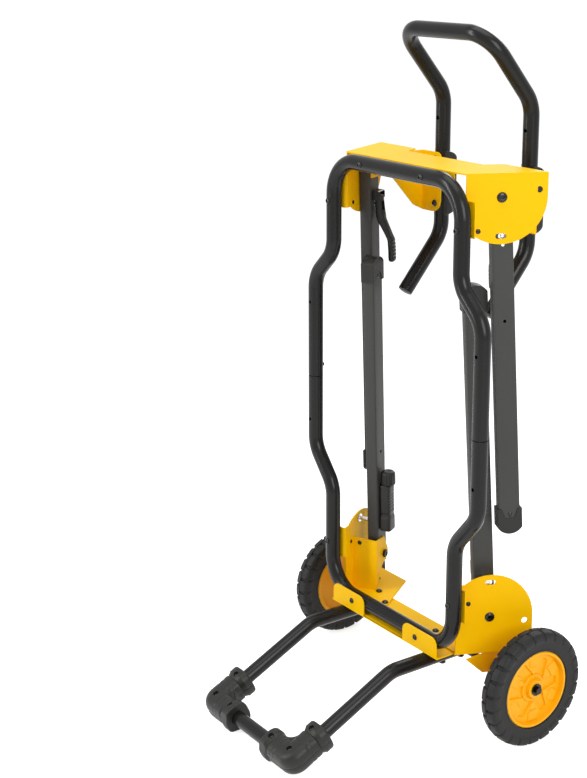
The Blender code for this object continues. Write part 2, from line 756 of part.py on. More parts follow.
def top_bracket():
    """Top panel with its splayed plates, hug flanges, front flange, gussets, pads and ears."""
    line = [RIGHT @ Vector((-PANEL_INSET, reach, 0))
            for reach in (PLATE_LIP / 2, PIVOT_BACK + PLATE_RADIUS - PANEL_INSET)]
    right = [(PANEL_FRONT_HALF, BEHIND_TUBE), (line[0].x, line[0].y), (line[1].x, line[1].y),
             (PANEL_WING_INNER, PANEL_WING_BACK), (PANEL_MIDDLE_HALF, PANEL_MIDDLE_BACK)]
    outline = right + [(-x, y) for x, y in right[::-1]]
    made = plate(outline, SHEET, facing_z(PANEL_TOP - SHEET / 2))
    flange_high = PANEL_TOP - SHEET / 2
    low = (-PANEL_FRONT_HALF, BEHIND_TUBE + PANEL_INSET, PANEL_TOP - FRONT_FLANGE_DROP)
    high = (PANEL_FRONT_HALF, BEHIND_TUBE + SHEET, flange_high)
    join(made, box(low, high))

    def wing():
        sheet = splayed_plate(UPPER_PIVOT, 1, flange_high)
        gusset = plate([(GUSSET_FRONT, flange_high), GUSSET_KNEE, GUSSET_FOOT, (PAD_Y, PAD_BOTTOM),
                        (PAD_Y, PAD_TOP), (GUSSET_TOP_BACK, PAD_TOP),
                        (PANEL_WING_BACK - SHEET, flange_high)],
                       SHEET, facing_x(GUSSET_X))
        pad = plate(rounded([(PAD_INNER, PAD_BOTTOM), (GUSSET_X, PAD_BOTTOM), (GUSSET_X, PAD_TOP),
                             (PAD_INNER, PAD_TOP)], [PAD_ROUND, 0, 0, PAD_ROUND / 2]),
                    SHEET - HUG_STEP, facing_y(PAD_Y))
        reach = OUTER_LEG + LEG_THICKNESS + LEG_RUN_CLEARANCE
        ear = box((-reach - SHEET, BOLT_EAR_START, UPPER_PIVOT - BOLT_EAR_DROP),
                  (-reach, BOLT_EAR_END, flange_high))
        return [sheet, gusset, pad, moved(ear, RIGHT)]

    join(made, *both_sides(wing))

    def cuts():
        small = (SMALL_HOLE_BACK, UPPER_PIVOT - SMALL_HOLE_RISE)
        shapes = plate_cuts(UPPER_PIVOT, 1, small)
        reach = OUTER_LEG + LEG_THICKNESS
        shapes.append(moved(plane_rod(reach, reach + SHEET + OVERRUN, PIVOT_BACK, UPPER_PIVOT,
                                      PIVOT_RADIUS + HOLE_CLEARANCE), RIGHT))
        radius = SCREW_RADIUS + HOLE_CLEARANCE
        for x, z in ((LOOP_NARROW, UPRIGHT_SCREWS[0]), (TOP_BAR_SCREW_X, LOOP_TOP)):
            shapes.append(rod((x, 0, z), (x, BEHIND_TUBE + SHEET + OVERRUN, z), radius, SCREW_SIDES))
        for z in GUIDE_BOLT_HEIGHTS:
            shapes.append(rod((HANDLE_X, PAD_Y - OVERRUN, z), (HANDLE_X, PAD_Y + OVERRUN, z),
                              BOLT_RADIUS + HOLE_CLEARANCE, SCREW_SIDES))
        return shapes

    cut(made, *both_sides(cuts))
    return finish(made, "top_bracket", YELLOW_STEEL, stand)


def bottom_bracket(side_name, side):
    """Bottom corner bracket: splayed plate, hug flange, floor and the leg's inner plate."""
    edge = FLOOR_TOP - SHEET / 2
    made = splayed_plate(LOWER_PIVOT, -1, edge)
    line = [RIGHT @ Vector((-PANEL_INSET, reach, 0))
            for reach in (PLATE_LIP / 2, PIVOT_BACK + PLATE_RADIUS - PANEL_INSET)]
    outline = [(FLOOR_FRONT_INNER, FLOOR_FRONT), (line[0].x, FLOOR_FRONT), (line[0].x, line[0].y),
               (line[1].x, line[1].y), (FLOOR_BACK_INNER, line[1].y)]
    floor = plate(outline, SHEET, facing_z(edge))
    reach = INNER_LEG + LEG_THICKNESS + LEG_RUN_CLEARANCE
    web_front = WEB_BACK - SHEET
    ear = disc((PIVOT_BACK, LOWER_PIVOT), INNER_EAR_ROUND, -pi / 2, pi / 4, FOOT_ARC_STEPS // 2)
    inner = plate([(web_front, edge), INNER_EAR_KNEE, (PIVOT_BACK - INNER_EAR_ROUND, INNER_EAR_BOTTOM)]
                  + ear + [(PIVOT_BACK, WEB_TOP), (web_front, WEB_TOP)],
                  SHEET, facing_x(-reach - SHEET / 2))
    web = box((-reach - SHEET / 2, web_front, edge), (-SHEET / 2, WEB_BACK, WEB_TOP - HUG_STEP))
    join(made, floor, moved(inner, RIGHT), moved(web, RIGHT))
    shapes = [moved(rod((-WEB_HOLE_IN, web_front - OVERRUN, WEB_HOLE_HEIGHT),
                        (-WEB_HOLE_IN, WEB_BACK + OVERRUN, WEB_HOLE_HEIGHT), WEB_HOLE_RADIUS, SCREW_SIDES),
                    RIGHT)]
    shapes += plate_cuts(LOWER_PIVOT, -1, (SMALL_HOLE_BACK, LOWER_PIVOT + SMALL_HOLE_RISE / 2))
    shapes.append(moved(plane_rod(reach - OVERRUN, reach + SHEET + OVERRUN, PIVOT_BACK, LOWER_PIVOT,
                                  PIVOT_RADIUS + HOLE_CLEARANCE), RIGHT))
    screw = (LOOP_NARROW, UPRIGHT_SCREWS[1])
    shapes.append(rod((screw[0], 0, screw[1]), (screw[0], BEHIND_TUBE + SHEET + OVERRUN, screw[1]),
                      SCREW_RADIUS + HOLE_CLEARANCE, SCREW_SIDES))
    for place, radius in ((CROSS_BOLT, BOLT_RADIUS), (AXLE_BOLT, BOLT_RADIUS),
                          *(((TOE_X, y), BOLT_RADIUS) for y in TOE_BOLT_Y)):
        shapes.append(rod((*place, FLOOR_TOP - SHEET - OVERRUN), (*place, FLOOR_TOP + OVERRUN),
                          radius + HOLE_CLEARANCE, SCREW_SIDES))
    cut(made, *shapes)
    return finish(mirrored(made, side), "bottom_bracket_" + side_name, YELLOW_STEEL, stand)


def bottom_cross_plate():
    """Strip under the loop that ties both bottom brackets and the toe tubes, with front ears."""
    front = BEHIND_TUBE + SHEET
    middle = CROSS_TOP - SHEET / 2
    corner = CROSS_HALF
    made = plate([(-corner, -front), (corner, -front), (corner, CROSS_BACK), (-corner, CROSS_BACK)],
                 SHEET, facing_z(middle))

    def ears():
        outline = [(CROSS_EAR_INNER, middle), (CROSS_EAR_OUTER, middle),
                   (CROSS_EAR_OUTER, CROSS_EAR_TOP), (CROSS_EAR_INNER, CROSS_EAR_TOP)]
        outline = rounded(outline, [0, 0, CROSS_EAR_ROUND, CROSS_EAR_ROUND])
        return [plate(outline, SHEET - HUG_STEP, facing_y(-front + SHEET / 2))]

    join(made, *both_sides(ears))

    def cuts():
        return [rod((EAR_SCREW_X, -front - OVERRUN, LOOP_BOTTOM), (EAR_SCREW_X, 0, LOOP_BOTTOM),
                    SCREW_RADIUS + HOLE_CLEARANCE, SCREW_SIDES)]

    cut(made, *both_sides(cuts))

    def bolts():
        shapes = []
        for place, thick in ((CROSS_BOLT, 0), *(((TOE_X, y), 2 * (TOE_RADIUS + GAP)) for y in TOE_BOLT_Y)):
            bolt = fastener(2 * SHEET + 3 * GAP + thick, BOLT_RADIUS, BOLT_HEAD_RADIUS,
                            BOLT_HEAD_HEIGHT, CROSS_NUT_RADIUS, BOLT_HEAD_HEIGHT)
            shapes.append(moved(bolt, Matrix.Translation((*place, FLOOR_TOP + GAP))))
        return shapes

    join(made, *both_sides(bolts))
    return finish(made, "bottom_cross_plate", YELLOW_STEEL, stand)


# Toe bar
TOE_CORNER = Vector((TOE_X, TOE_CORNER_Y, TOE_CORNER_Z))
TOE_RUN = Vector((0, cos(TOE_SLOPE), sin(TOE_SLOPE)))


def toe_tube(side_name, side):
    """Bent side tube of the toe bar, bolted under the strip."""
    bend = Vector((TOE_X, TOE_BEND_Y, TOE_HEIGHT))
    path = [Vector((TOE_X, TOE_BACK_Y, TOE_HEIGHT)), bend, TOE_CORNER + TOE_RUN * ELBOW_TUBE_STOP]
    made = tube(fillet(path, TOE_BEND), TOE_RADIUS)
    for y in TOE_BOLT_Y:
        reach = TOE_RADIUS + OVERRUN
        cut(made, rod((TOE_X, y, TOE_HEIGHT - reach), (TOE_X, y, TOE_HEIGHT + reach),
                      BOLT_RADIUS + HOLE_CLEARANCE, SCREW_SIDES))
    finish(mirrored(made, side), "toe_tube_" + side_name, BLACK_STEEL, stand)


def toe_cross_tube():
    """Cross bar on the floor between the elbows."""
    reach = TOE_X - ELBOW_TUBE_STOP
    made = tube([Vector((reach, 0, 0)), Vector((-reach, 0, 0))], TOE_RADIUS)
    finish(made, "toe_cross_tube", BLACK_STEEL, stand, (0, TOE_CORNER_Y, TOE_CORNER_Z))


def elbow(side_name, side):
    """Corner fitting of the toe bar in two plastic shells, with recessed screws."""
    screws = ((0, 0), (0, ELBOW_SCREW_ALONG), (-ELBOW_SCREW_ALONG, 0))
    bore = TOE_RADIUS + GAP
    collar = ELBOW_ARM - ELBOW_COLLAR_LENGTH
    stop = ELBOW_TUBE_STOP - GAP
    for level, name in ((1, "upper"), (-1, "lower")):
        made = rod((0, 0, 0), (-ELBOW_ARM, 0, 0), ELBOW_RADIUS)
        bpy.ops.mesh.primitive_uv_sphere_add(segments=ROUND_SIDES, ring_count=ROUND_SIDES // 2,
                                             radius=ELBOW_RADIUS + HUG_STEP)
        ball = bpy.context.object
        parts_only(ball)
        web = plate([(0, 0), (0, ELBOW_WEB), (-ELBOW_WEB, 0)], ELBOW_WEB_THICKNESS)
        join(made, rod((0, 0, 0), (0, ELBOW_ARM, 0), ELBOW_RADIUS), ball, web,
             rod((-collar, 0, 0), (-ELBOW_ARM - GAP, 0, 0), ELBOW_COLLAR_RADIUS),
             rod((0, collar, 0), (0, ELBOW_ARM + GAP, 0), ELBOW_COLLAR_RADIUS))
        reach = ELBOW_COLLAR_RADIUS + OVERRUN
        split = -level * ELBOW_SPLIT / 2
        far = ELBOW_ARM + OVERRUN
        low, high = sorted((level * -reach, level * ELBOW_SPLIT / 2))
        cut(made, rod((-stop, 0, 0), (-far, 0, 0), bore, BORE_SIDES),
            rod((0, stop, 0), (0, far, 0), bore, BORE_SIDES),
            box((-far, -far, low), (far, far, high)))
        for x, y in screws:
            if level > 0:
                top = ELBOW_COLLAR_RADIUS if (x, y) != screws[0] else ELBOW_RADIUS
                seat = top - ELBOW_SCREW_RECESS
                cut(made, rod((x, y, seat), (x, y, reach), ELBOW_RECESS_RADIUS, SCREW_SIDES))
                screw = fastener(SMALL_HEAD_HEIGHT, SMALL_SCREW_RADIUS, SMALL_HEAD_RADIUS,
                                 SMALL_HEAD_HEIGHT)
                join(made, moved(screw, Matrix.Translation((x, y, seat - HUG_STEP))))
        moved(made, Matrix.Rotation(TOE_SLOPE, 4, "X"))
        cut(made, box((-far, -far, -TOE_CORNER_Z - reach), (far, far, -TOE_CORNER_Z)))
        mirrored(made, side)
        finish(made, "toe_elbow_" + name + "_" + side_name, BLACK_PLASTIC, stand,
               (side * TOE_X, TOE_CORNER_Y, TOE_CORNER_Z))


# Axle and wheels
def axle_bracket(side_name, side):
    """Hanger under the side bracket that carries the axle."""
    top = CROSS_TOP - SHEET / 2
    lower = disc((AXLE_Y, WHEEL_RADIUS), AXLE_EAR_ROUND, -pi + radians(20), 0, 6)
    outline = [(AXLE_EAR_FRONT, top), AXLE_EAR_KNEE] + lower + [(AXLE_EAR_BACK, top)]
    made = plate(outline, SHEET, facing_x(AXLE_EAR_X))
    flange = box((AXLE_FLANGE_INNER, AXLE_FLANGE_FRONT, CROSS_TOP - SHEET),
                 (AXLE_EAR_X, AXLE_EAR_BACK - SHEET, CROSS_TOP))
    join(made, flange)
    reach = SHEET + OVERRUN
    cut(made, rod((AXLE_EAR_X - reach, AXLE_Y, WHEEL_RADIUS), (AXLE_EAR_X + reach, AXLE_Y, WHEEL_RADIUS),
                  AXLE_RADIUS + HOLE_CLEARANCE))
    bolt = fastener(2 * SHEET + 3 * GAP, BOLT_RADIUS, BOLT_HEAD_RADIUS, BOLT_HEAD_HEIGHT,
                    CROSS_NUT_RADIUS, BOLT_HEAD_HEIGHT)
    join(made, moved(bolt, Matrix.Translation((*AXLE_BOLT, FLOOR_TOP + GAP))))
    finish(mirrored(made, side), "axle_bracket_" + side_name, YELLOW_STEEL, stand)


def axle():
    """Axle with a shoulder inside each wheel."""
    made = rod((-AXLE_END, 0, 0), (AXLE_END, 0, 0), AXLE_RADIUS)
    hub_inner = WHEEL_OUTER_X - WHEEL_WIDTH

    def shoulders():
        return [rod((SPACER_START, 0, 0), (hub_inner - GAP, 0, 0), AXLE_SPACER_RADIUS)]

    join(made, *both_sides(shoulders))
    finish(made, "axle", ZINC, stand, (0, AXLE_Y, WHEEL_RADIUS))


def axle_clip(side_name, side):
    """Retaining clip outside a wheel hub."""
    start = WHEEL_OUTER_X + GAP - HUB_DISH
    clip = rod((0, 0, 0), (CLIP_WIDTH, 0, 0), CLIP_RADIUS)
    cut(clip, rod((-OVERRUN, 0, 0), (CLIP_WIDTH + OVERRUN, 0, 0), AXLE_RADIUS + GAP))
    finish(mirrored(clip, side), "axle_clip_" + side_name, DARK_STEEL, stand,
           (side * start, AXLE_Y, WHEEL_RADIUS))


def wheel(side_name, side):
    """Plastic hub and rubber tyre, each turned about the axle, outer face toward +X."""
    half = WHEEL_WIDTH / 2
    rim, inside = RIM_RADIUS, RIM_RADIUS - HUB_RIM_WALL
    bore = AXLE_RADIUS + GAP
    web = HUB_WEB / 2
    profile = [(bore, half - HUB_DISH), (HUB_BOSS_RADIUS, half - HUB_DISH),
               (HUB_BOSS_RADIUS + HUB_EDGE, web), (inside - HUB_EDGE, web),
               (inside, half - HUB_EDGE), (rim - HUB_EDGE, half), (rim, half - HUB_EDGE),
               (rim, -half + HUB_EDGE), (rim - HUB_EDGE, -half), (inside, -half + HUB_EDGE),
               (inside - HUB_EDGE, -web), (HUB_BOSS_RADIUS + HUB_EDGE, -web),
               (HUB_BOSS_RADIUS, -half), (bore, -half), (bore, half - HUB_DISH)]
    lie = Matrix.Rotation(pi / 2, 4, "Y")
    hub = turned(profile, WHEEL_SIDES, lie)
    middle = WHEEL_OUTER_X - half
    place = (side * middle, AXLE_Y, WHEEL_RADIUS)
    finish(mirrored(hub, side), "wheel_hub_" + side_name, YELLOW_PLASTIC, stand, place)
    seat = rim + GAP
    shoulder = TYRE_SHOULDER
    profile = [(seat, half - TYRE_SEAT), (seat + TYRE_SEAT, half), (WHEEL_RADIUS - 2 * shoulder, half),
               (WHEEL_RADIUS - shoulder / 2, half - shoulder / 2), (WHEEL_RADIUS, half - 2 * shoulder),
               (WHEEL_RADIUS, 2 * shoulder - half), (WHEEL_RADIUS - shoulder / 2, shoulder / 2 - half),
               (WHEEL_RADIUS - 2 * shoulder, -half), (seat + TYRE_SEAT, -half),
               (seat, TYRE_SEAT - half), (seat, half - TYRE_SEAT)]
    tyre = turned(profile, WHEEL_SIDES, lie)
    finish(mirrored(tyre, side), "tyre_" + side_name, RUBBER, stand, place)


# Handle
def handle():
    """Bent push handle, its end plugs, its two guide blocks and their bolts."""
    end = Vector((HANDLE_X, HANDLE_END_Y, HANDLE_END))
    low = Vector((HANDLE_X, HANDLE_Y, HANDLE_LOWER_BEND))
    right = [end, low, Vector((HANDLE_X, HANDLE_Y, HANDLE_UPPER_BEND)),
             Vector((HANDLE_X, HANDLE_TOP_Y, HANDLE_TOP))]
    left = [Vector((-point.x, point.y, point.z)) for point in right[::-1]]
    bends = [HANDLE_BEND, HANDLE_BEND, HANDLE_CORNER_BEND]
    made = tube(fillet(right + left, bends + bends[::-1]), TUBE_RADIUS)
    aim = (end - low).normalized()

    def cuts():
        shapes = [rod(end - aim * (HANDLE_PLUG_LENGTH + GAP), end + aim * OVERRUN,
                      HANDLE_PLUG_RADIUS + GAP, BORE_SIDES)]
        reach = TUBE_RADIUS + OVERRUN
        for z, radius in ((HANDLE_HOLE, HANDLE_HOLE_RADIUS),
                          *((z, BOLT_RADIUS + HOLE_CLEARANCE) for z in GUIDE_BOLT_HEIGHTS)):
            shapes.append(rod((HANDLE_X, HANDLE_Y - reach, z), (HANDLE_X, HANDLE_Y + reach, z),
                              radius, SCREW_SIDES))
        return shapes

    cut(made, *both_sides(cuts))
    finish(made, "handle_tube", BLACK_STEEL, stand)

    for side_name, side in SIDES.items():
        profile = [(0, HANDLE_CAP_LENGTH + GAP), (TUBE_RADIUS / 2, HANDLE_CAP_LENGTH + GAP),
                   (TUBE_RADIUS, HANDLE_CAP_LENGTH / 2), (TUBE_RADIUS, GAP),
                   (HANDLE_PLUG_RADIUS, GAP), (HANDLE_PLUG_RADIUS, -HANDLE_PLUG_LENGTH),
                   (0, -HANDLE_PLUG_LENGTH)]
        plug = aimed(turned(profile, ROUND_SIDES), (0, 0, 0), aim)
        finish(mirrored(plug, side), "handle_end_cap_" + side_name, BLACK_PLASTIC, stand,
               (side * end.x, end.y, end.z))
    front = HANDLE_Y - TUBE_RADIUS / 2
    back = HANDLE_Y + GUIDE_BACK
    for side_name, side in SIDES.items():
        wide = TUBE_RADIUS + GUIDE_WALL
        outline = rounded([(-wide, front), (wide, front), (wide, back), (-wide, back)],
                          [0, 0, GUIDE_EDGE, GUIDE_EDGE])
        block = plate(outline, GUIDE_TOP - GUIDE_BOTTOM, facing_z((GUIDE_TOP + GUIDE_BOTTOM) / 2))
        cut(block, rod((0, HANDLE_Y, GUIDE_BOTTOM - OVERRUN), (0, HANDLE_Y, GUIDE_TOP + OVERRUN),
                       TUBE_RADIUS + GAP, BORE_SIDES))
        head = PAD_Y - SHEET / 2 - GAP
        for z in GUIDE_BOLT_HEIGHTS:
            bolt = fastener(back - head, BOLT_RADIUS, BOLT_HEAD_RADIUS, BOLT_HEAD_HEIGHT,
                            CROSS_NUT_RADIUS, BOLT_HEAD_HEIGHT / 2)
            join(block, aimed(bolt, (0, head, z), (0, -1, 0)))
        finish(block, "handle_guide_" + side_name, BLACK_PLASTIC, stand, (side * HANDLE_X, 0, 0))


# Pivots
def pivot_bolt(level_name, side_name, side):
    """Bolt and nut through a corner plate, a leg and its inner ear, with the lower leg's spacer."""
    reach = OUTER_LEG if level_name == "upper" else INNER_LEG
    height = UPPER_PIVOT if level_name == "upper" else LOWER_PIVOT
    length = reach + LEG_THICKNESS + LEG_RUN_CLEARANCE + SHEET + 2 * GAP
    bolt = fastener(length, PIVOT_RADIUS, PIVOT_HEAD_RADIUS, PIVOT_HEAD_HEIGHT,
                    PIVOT_NUT_RADIUS, PIVOT_NUT_HEIGHT, ROUND_SIDES)
    if level_name == "lower":
        join(bolt, rod((0, 0, -SHEET - 2 * GAP), (0, 0, -reach), SPACER_RADIUS))
    aimed(bolt, (GAP, 0, 0), (1, 0, 0))
    finish(mirrored(bolt, side), "pivot_bolt_" + level_name + "_" + side_name, DARK_STEEL,
           plate_frames[side_name], (0, PIVOT_BACK, height))


# Legs: X across the stand, Y over the leg's width and Z from its pivot to its foot
LEG_FRAMES = {}
for side_name, side in SIDES.items():
    for level_name, pivot, turn in (("upper", UPPER_PIVOT, pi + LEAN), ("lower", LOWER_PIVOT, LEAN)):
        LEG_FRAMES[level_name, side_name] = empty(
            level_name + "_leg_frame_" + side_name, plate_frames[side_name],
            (0, PIVOT_BACK, pivot), (turn, 0, 0))


def leg(level_name, side_name, side):
    """Folding leg: rectangular tube with its pivot, lock, screw and hinge holes."""
    reach = OUTER_LEG if level_name == "upper" else INNER_LEG
    far = reach + LEG_THICKNESS
    half, thick = LEG_WIDTH / 2, LEG_THICKNESS / 2
    wall = LEG_WALL
    length = LEG_TUBE + LEG_BEYOND_PIVOT
    middle = Matrix.Translation((-reach - thick, 0, (LEG_TUBE - LEG_BEYOND_PIVOT) / 2))
    outer = rounded([(-thick, -half), (thick, -half), (thick, half), (-thick, half)], LEG_EDGE)
    inner = rounded([(wall - thick, wall - half), (thick - wall, wall - half),
                     (thick - wall, half - wall), (wall - thick, half - wall)], LEG_EDGE - wall)
    made = plate(outer, length, middle)
    cut(made, plate(inner, length + 2 * OVERRUN, middle))
    for place, aim in ((-reach + HUG_STEP, 1), (-far - HUG_STEP, -1)):
        screw = fastener(wall / 2, FOOT_SCREW_RADIUS, FOOT_SCREW_HEAD, FOOT_SCREW_HEAD_HEIGHT)
        join(made, aimed(screw, (place - aim * 2 * HUG_STEP, 0, FOOT_SCREW_ALONG), (aim, 0, 0)))
    near, past = SHEET - OVERRUN, far + OVERRUN
    cut(made, plane_rod(near, past, 0, 0, PIVOT_RADIUS + HOLE_CLEARANCE),
        plane_rod(near, past, 0, LOCK_DISTANCE, LOCK_PIN_RADIUS + HOLE_CLEARANCE),
        plane_rod(near, past, 0, LEG_HOLE_ALONG, LEG_HOLE_RADIUS, SCREW_SIDES))
    frame = LEG_FRAMES[level_name, side_name]
    finish(mirrored(made, side), "leg_" + level_name + "_" + side_name, GREY_STEEL, frame)


def foot(level_name, side_name, side):
    """Plastic cap over a leg's end and the two screws that hold it."""
    reach = OUTER_LEG if level_name == "upper" else INNER_LEG
    middle = reach + LEG_THICKNESS / 2
    half = FOOT_WIDTH / 2
    arc = (half * half + FOOT_ARC_DEPTH * FOOT_ARC_DEPTH) / (2 * FOOT_ARC_DEPTH)
    first = atan2(arc - FOOT_ARC_DEPTH, half)
    outline = [(-half, FOOT_START), (half, FOOT_START)]
    outline += disc((0, FOOT_END - arc), arc, first, pi - first, FOOT_ARC_STEPS)
    thickness = LEG_THICKNESS + 2 * FOOT_PROUD
    made = plate(outline, thickness, facing_x(-middle))
    pocket = plate(rounded([(-LEG_THICKNESS / 2 - GAP, -LEG_WIDTH / 2 - GAP),
                            (LEG_THICKNESS / 2 + GAP, -LEG_WIDTH / 2 - GAP),
                            (LEG_THICKNESS / 2 + GAP, LEG_WIDTH / 2 + GAP),
                            (-LEG_THICKNESS / 2 - GAP, LEG_WIDTH / 2 + GAP)], LEG_EDGE),
                   LEG_TUBE + GAP, Matrix.Translation((-middle, 0, (LEG_TUBE + GAP) / 2)))
    cut(made, pocket)
    notch_end = FOOT_START + FOOT_NOTCH_DEPTH
    notch = rounded([(-FOOT_NOTCH_HALF, FOOT_START - OVERRUN), (FOOT_NOTCH_HALF, FOOT_START - OVERRUN),
                     (FOOT_NOTCH_FLOOR_HALF, notch_end), (-FOOT_NOTCH_FLOOR_HALF, notch_end)],
                    [0, 0, FOOT_NOTCH_ROUND, FOOT_NOTCH_ROUND])
    cut(made, plate(notch, thickness + OVERRUN, facing_x(-middle)))
    frame = LEG_FRAMES[level_name, side_name]
    finish(mirrored(made, side), "foot_cap_" + level_name + "_" + side_name, BLACK_PLASTIC, frame)


def lock_pin(level_name, side_name, side):
    """Sliding pin through the leg that locks it in its corner plate."""
    reach = OUTER_LEG if level_name == "upper" else INNER_LEG
    far = reach + LEG_THICKNESS
    head = far + LOCK_HEAD_OUT
    made = rod((-SHEET - LOCK_TIP_CLEARANCE, 0, LOCK_DISTANCE), (-head, 0, LOCK_DISTANCE), LOCK_PIN_RADIUS)
    join(made, rod((-head + LOCK_HEAD_HEIGHT, 0, LOCK_DISTANCE), (-head - HUG_STEP, 0, LOCK_DISTANCE),
                   LOCK_HEAD_RADIUS))
    frame = LEG_FRAMES[level_name, side_name]
    finish(mirrored(made, side), "lock_pin_" + level_name + "_" + side_name, ZINC, frame)


def release_lever(side_name, side):
    """Lever of an upper leg: it hinges near the pivot and its ribbed grip is pulled inboard."""
    face = OUTER_LEG + LEG_THICKNESS
    hinge = face + LEVER_HINGE_OUT
    near = face + LEVER_BODY_CLEARANCE
    body = [(-near, LEVER_START), (-near, LEVER_BODY_END),
            (-face - LEVER_GRIP_INNER, LEVER_NECK_END), (-face - LEVER_GRIP_INNER, LEVER_END),
            (-face - LEVER_GRIP_OUTER, LEVER_END), (-face - LEVER_GRIP_OUTER, LEVER_NECK_END),
            (-face - LEVER_BODY_OUT, LEVER_BODY_END), (-face - LEVER_BODY_OUT, LEVER_START)]
    edge = LEVER_BODY_CLEARANCE
    body = rounded(body, [edge, edge, edge, 2 * edge, 2 * edge, edge, edge, 2 * edge])
    made = plate(body, 2 * LEVER_HALF, facing_y(0))
    grip = box((-face - LEVER_GRIP_OUTER, -LEVER_GRIP_HALF, LEVER_NECK_END + edge),
               (-face - LEVER_GRIP_INNER, LEVER_GRIP_HALF, LEVER_END - edge), edge)
    join(made, grip)
    for count in range(LEVER_RIB_COUNT):
        along = LEVER_END - 2 * LEVER_RIB_PITCH / 2 - count * LEVER_RIB_PITCH
        outer = -face - LEVER_GRIP_OUTER
        join(made, rod((outer, -LEVER_HALF, along), (outer, LEVER_HALF, along), LEVER_RIB_RADIUS,
                       SCREW_SIDES))
    slot = box((-face - LEVER_BODY_OUT - LEVER_GRIP_OUTER, -LEVER_SLOT_HALF, LOCK_DISTANCE - LEVER_SLOT_HALF_LENGTH),
               (-face, LEVER_SLOT_HALF, LOCK_DISTANCE + LEVER_SLOT_HALF_LENGTH))
    cut(made, slot, rod((-hinge, -LEVER_GRIP_HALF, LEVER_HINGE_ALONG),
                        (-hinge, LEVER_GRIP_HALF, LEVER_HINGE_ALONG),
                        LEVER_HINGE_RADIUS + HOLE_CLEARANCE, SCREW_SIDES))
    place = Matrix.Translation((hinge, 0, -LEVER_HINGE_ALONG))
    made = mirrored(moved(made, place), side)
    frame = LEG_FRAMES["upper", side_name]
    pivot = (-side * hinge, 0, LEVER_HINGE_ALONG)
    finish(made, "release_lever_" + side_name, BLACK_PLASTIC, frame, pivot)
    inside = LEVER_HALF + GAP
    outside = inside + LEVER_EAR
    top = -LEVER_EAR_LENGTH
    ears = rounded([(LEVER_HINGE_OUT - GAP, -LEVER_WEB_BACK - LEVER_EAR), (LEVER_HINGE_OUT - GAP, LEVER_EAR_LENGTH),
                    (top, LEVER_EAR_LENGTH), (top, -LEVER_WEB_BACK - LEVER_EAR)],
                   [0, 0, LEVER_EAR_ROUND, LEVER_EAR_ROUND])
    bracket = plate(ears, 2 * outside, facing_y(0))
    cut(bracket, box((top - OVERRUN, -inside, -LEVER_WEB_BACK),
                     (LEVER_HINGE_OUT + OVERRUN, inside, LEVER_EAR_LENGTH + OVERRUN)))
    reach = outside + GAP
    join(bracket, rod((0, -reach, 0), (0, reach, 0), LEVER_HINGE_RADIUS, SCREW_SIDES))
    finish(mirrored(bracket, side), "lever_bracket_" + side_name, GREY_STEEL, frame, pivot)


def lock_housing(side_name, side):
    """Housing on a lower leg that carries its lock pin and knob."""
    face = INNER_LEG + LEG_THICKNESS + GAP
    out = INNER_LEG + LEG_THICKNESS + HOUSING_OUT
    made = box((-out, -HOUSING_BLOCK_HALF, HOUSING_START), (-face, HOUSING_BLOCK_HALF, HOUSING_BLOCK_END),
               HOUSING_EDGE)
    join(made, box((-out + HOUSING_EDGE, -HOUSING_HALF, HOUSING_BLOCK_END - HOUSING_EDGE),
                   (-face, HOUSING_HALF, HOUSING_END), HOUSING_EDGE / 2))
    head = face + LOCK_HEAD_OUT + LOCK_TRAVEL
    stem_start = HOUSING_END - KNOB_STEM_LENGTH
    centre = INNER_LEG + LEG_THICKNESS + KNOB_OUT
    cut(made, plane_rod(face - OVERRUN, head + GAP, 0, LOCK_DISTANCE, LOCK_HEAD_RADIUS + GAP),
        rod((-centre, 0, stem_start - GAP), (-centre, 0, HOUSING_END + OVERRUN), KNOB_STEM_RADIUS + GAP))
    frame = LEG_FRAMES["lower", side_name]
    finish(mirrored(made, side), "lock_housing_" + side_name, BLACK_PLASTIC, frame)
    start = HOUSING_END + GAP
    profile = [(0, KNOB_END), (KNOB_RADIUS - KNOB_EDGE, KNOB_END), (KNOB_RADIUS, KNOB_END - KNOB_EDGE),
               (KNOB_RADIUS, start), (KNOB_STEM_RADIUS, start), (KNOB_STEM_RADIUS, stem_start),
               (0, stem_start)]
    knob = turned(profile, BORE_SIDES)
    finish(mirrored(knob, side), "lock_knob_" + side_name, BLACK_PLASTIC, frame, (-side * centre, 0, 0))


frame_upper_loop()
frame_lower_loop()
loop_screws()
top_bracket()
bottom_cross_plate()
toe_cross_tube()
axle()
handle()
for side_name, side in SIDES.items():
    bottom_bracket(side_name, side)
    toe_tube(side_name, side)
    elbow(side_name, side)
    axle_bracket(side_name, side)
    axle_clip(side_name, side)
    wheel(side_name, side)
    release_lever(side_name, side)
    lock_housing(side_name, side)
    for level_name in ("upper", "lower"):
        leg(level_name, side_name, side)
        foot(level_name, side_name, side)
        lock_pin(level_name, side_name, side)
        pivot_bolt(level_name, side_name, side)
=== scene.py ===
"""The look of a rolling folding table saw stand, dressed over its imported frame."""

import bmesh
import bpy
import numpy as np
from mathutils import Matrix, Vector


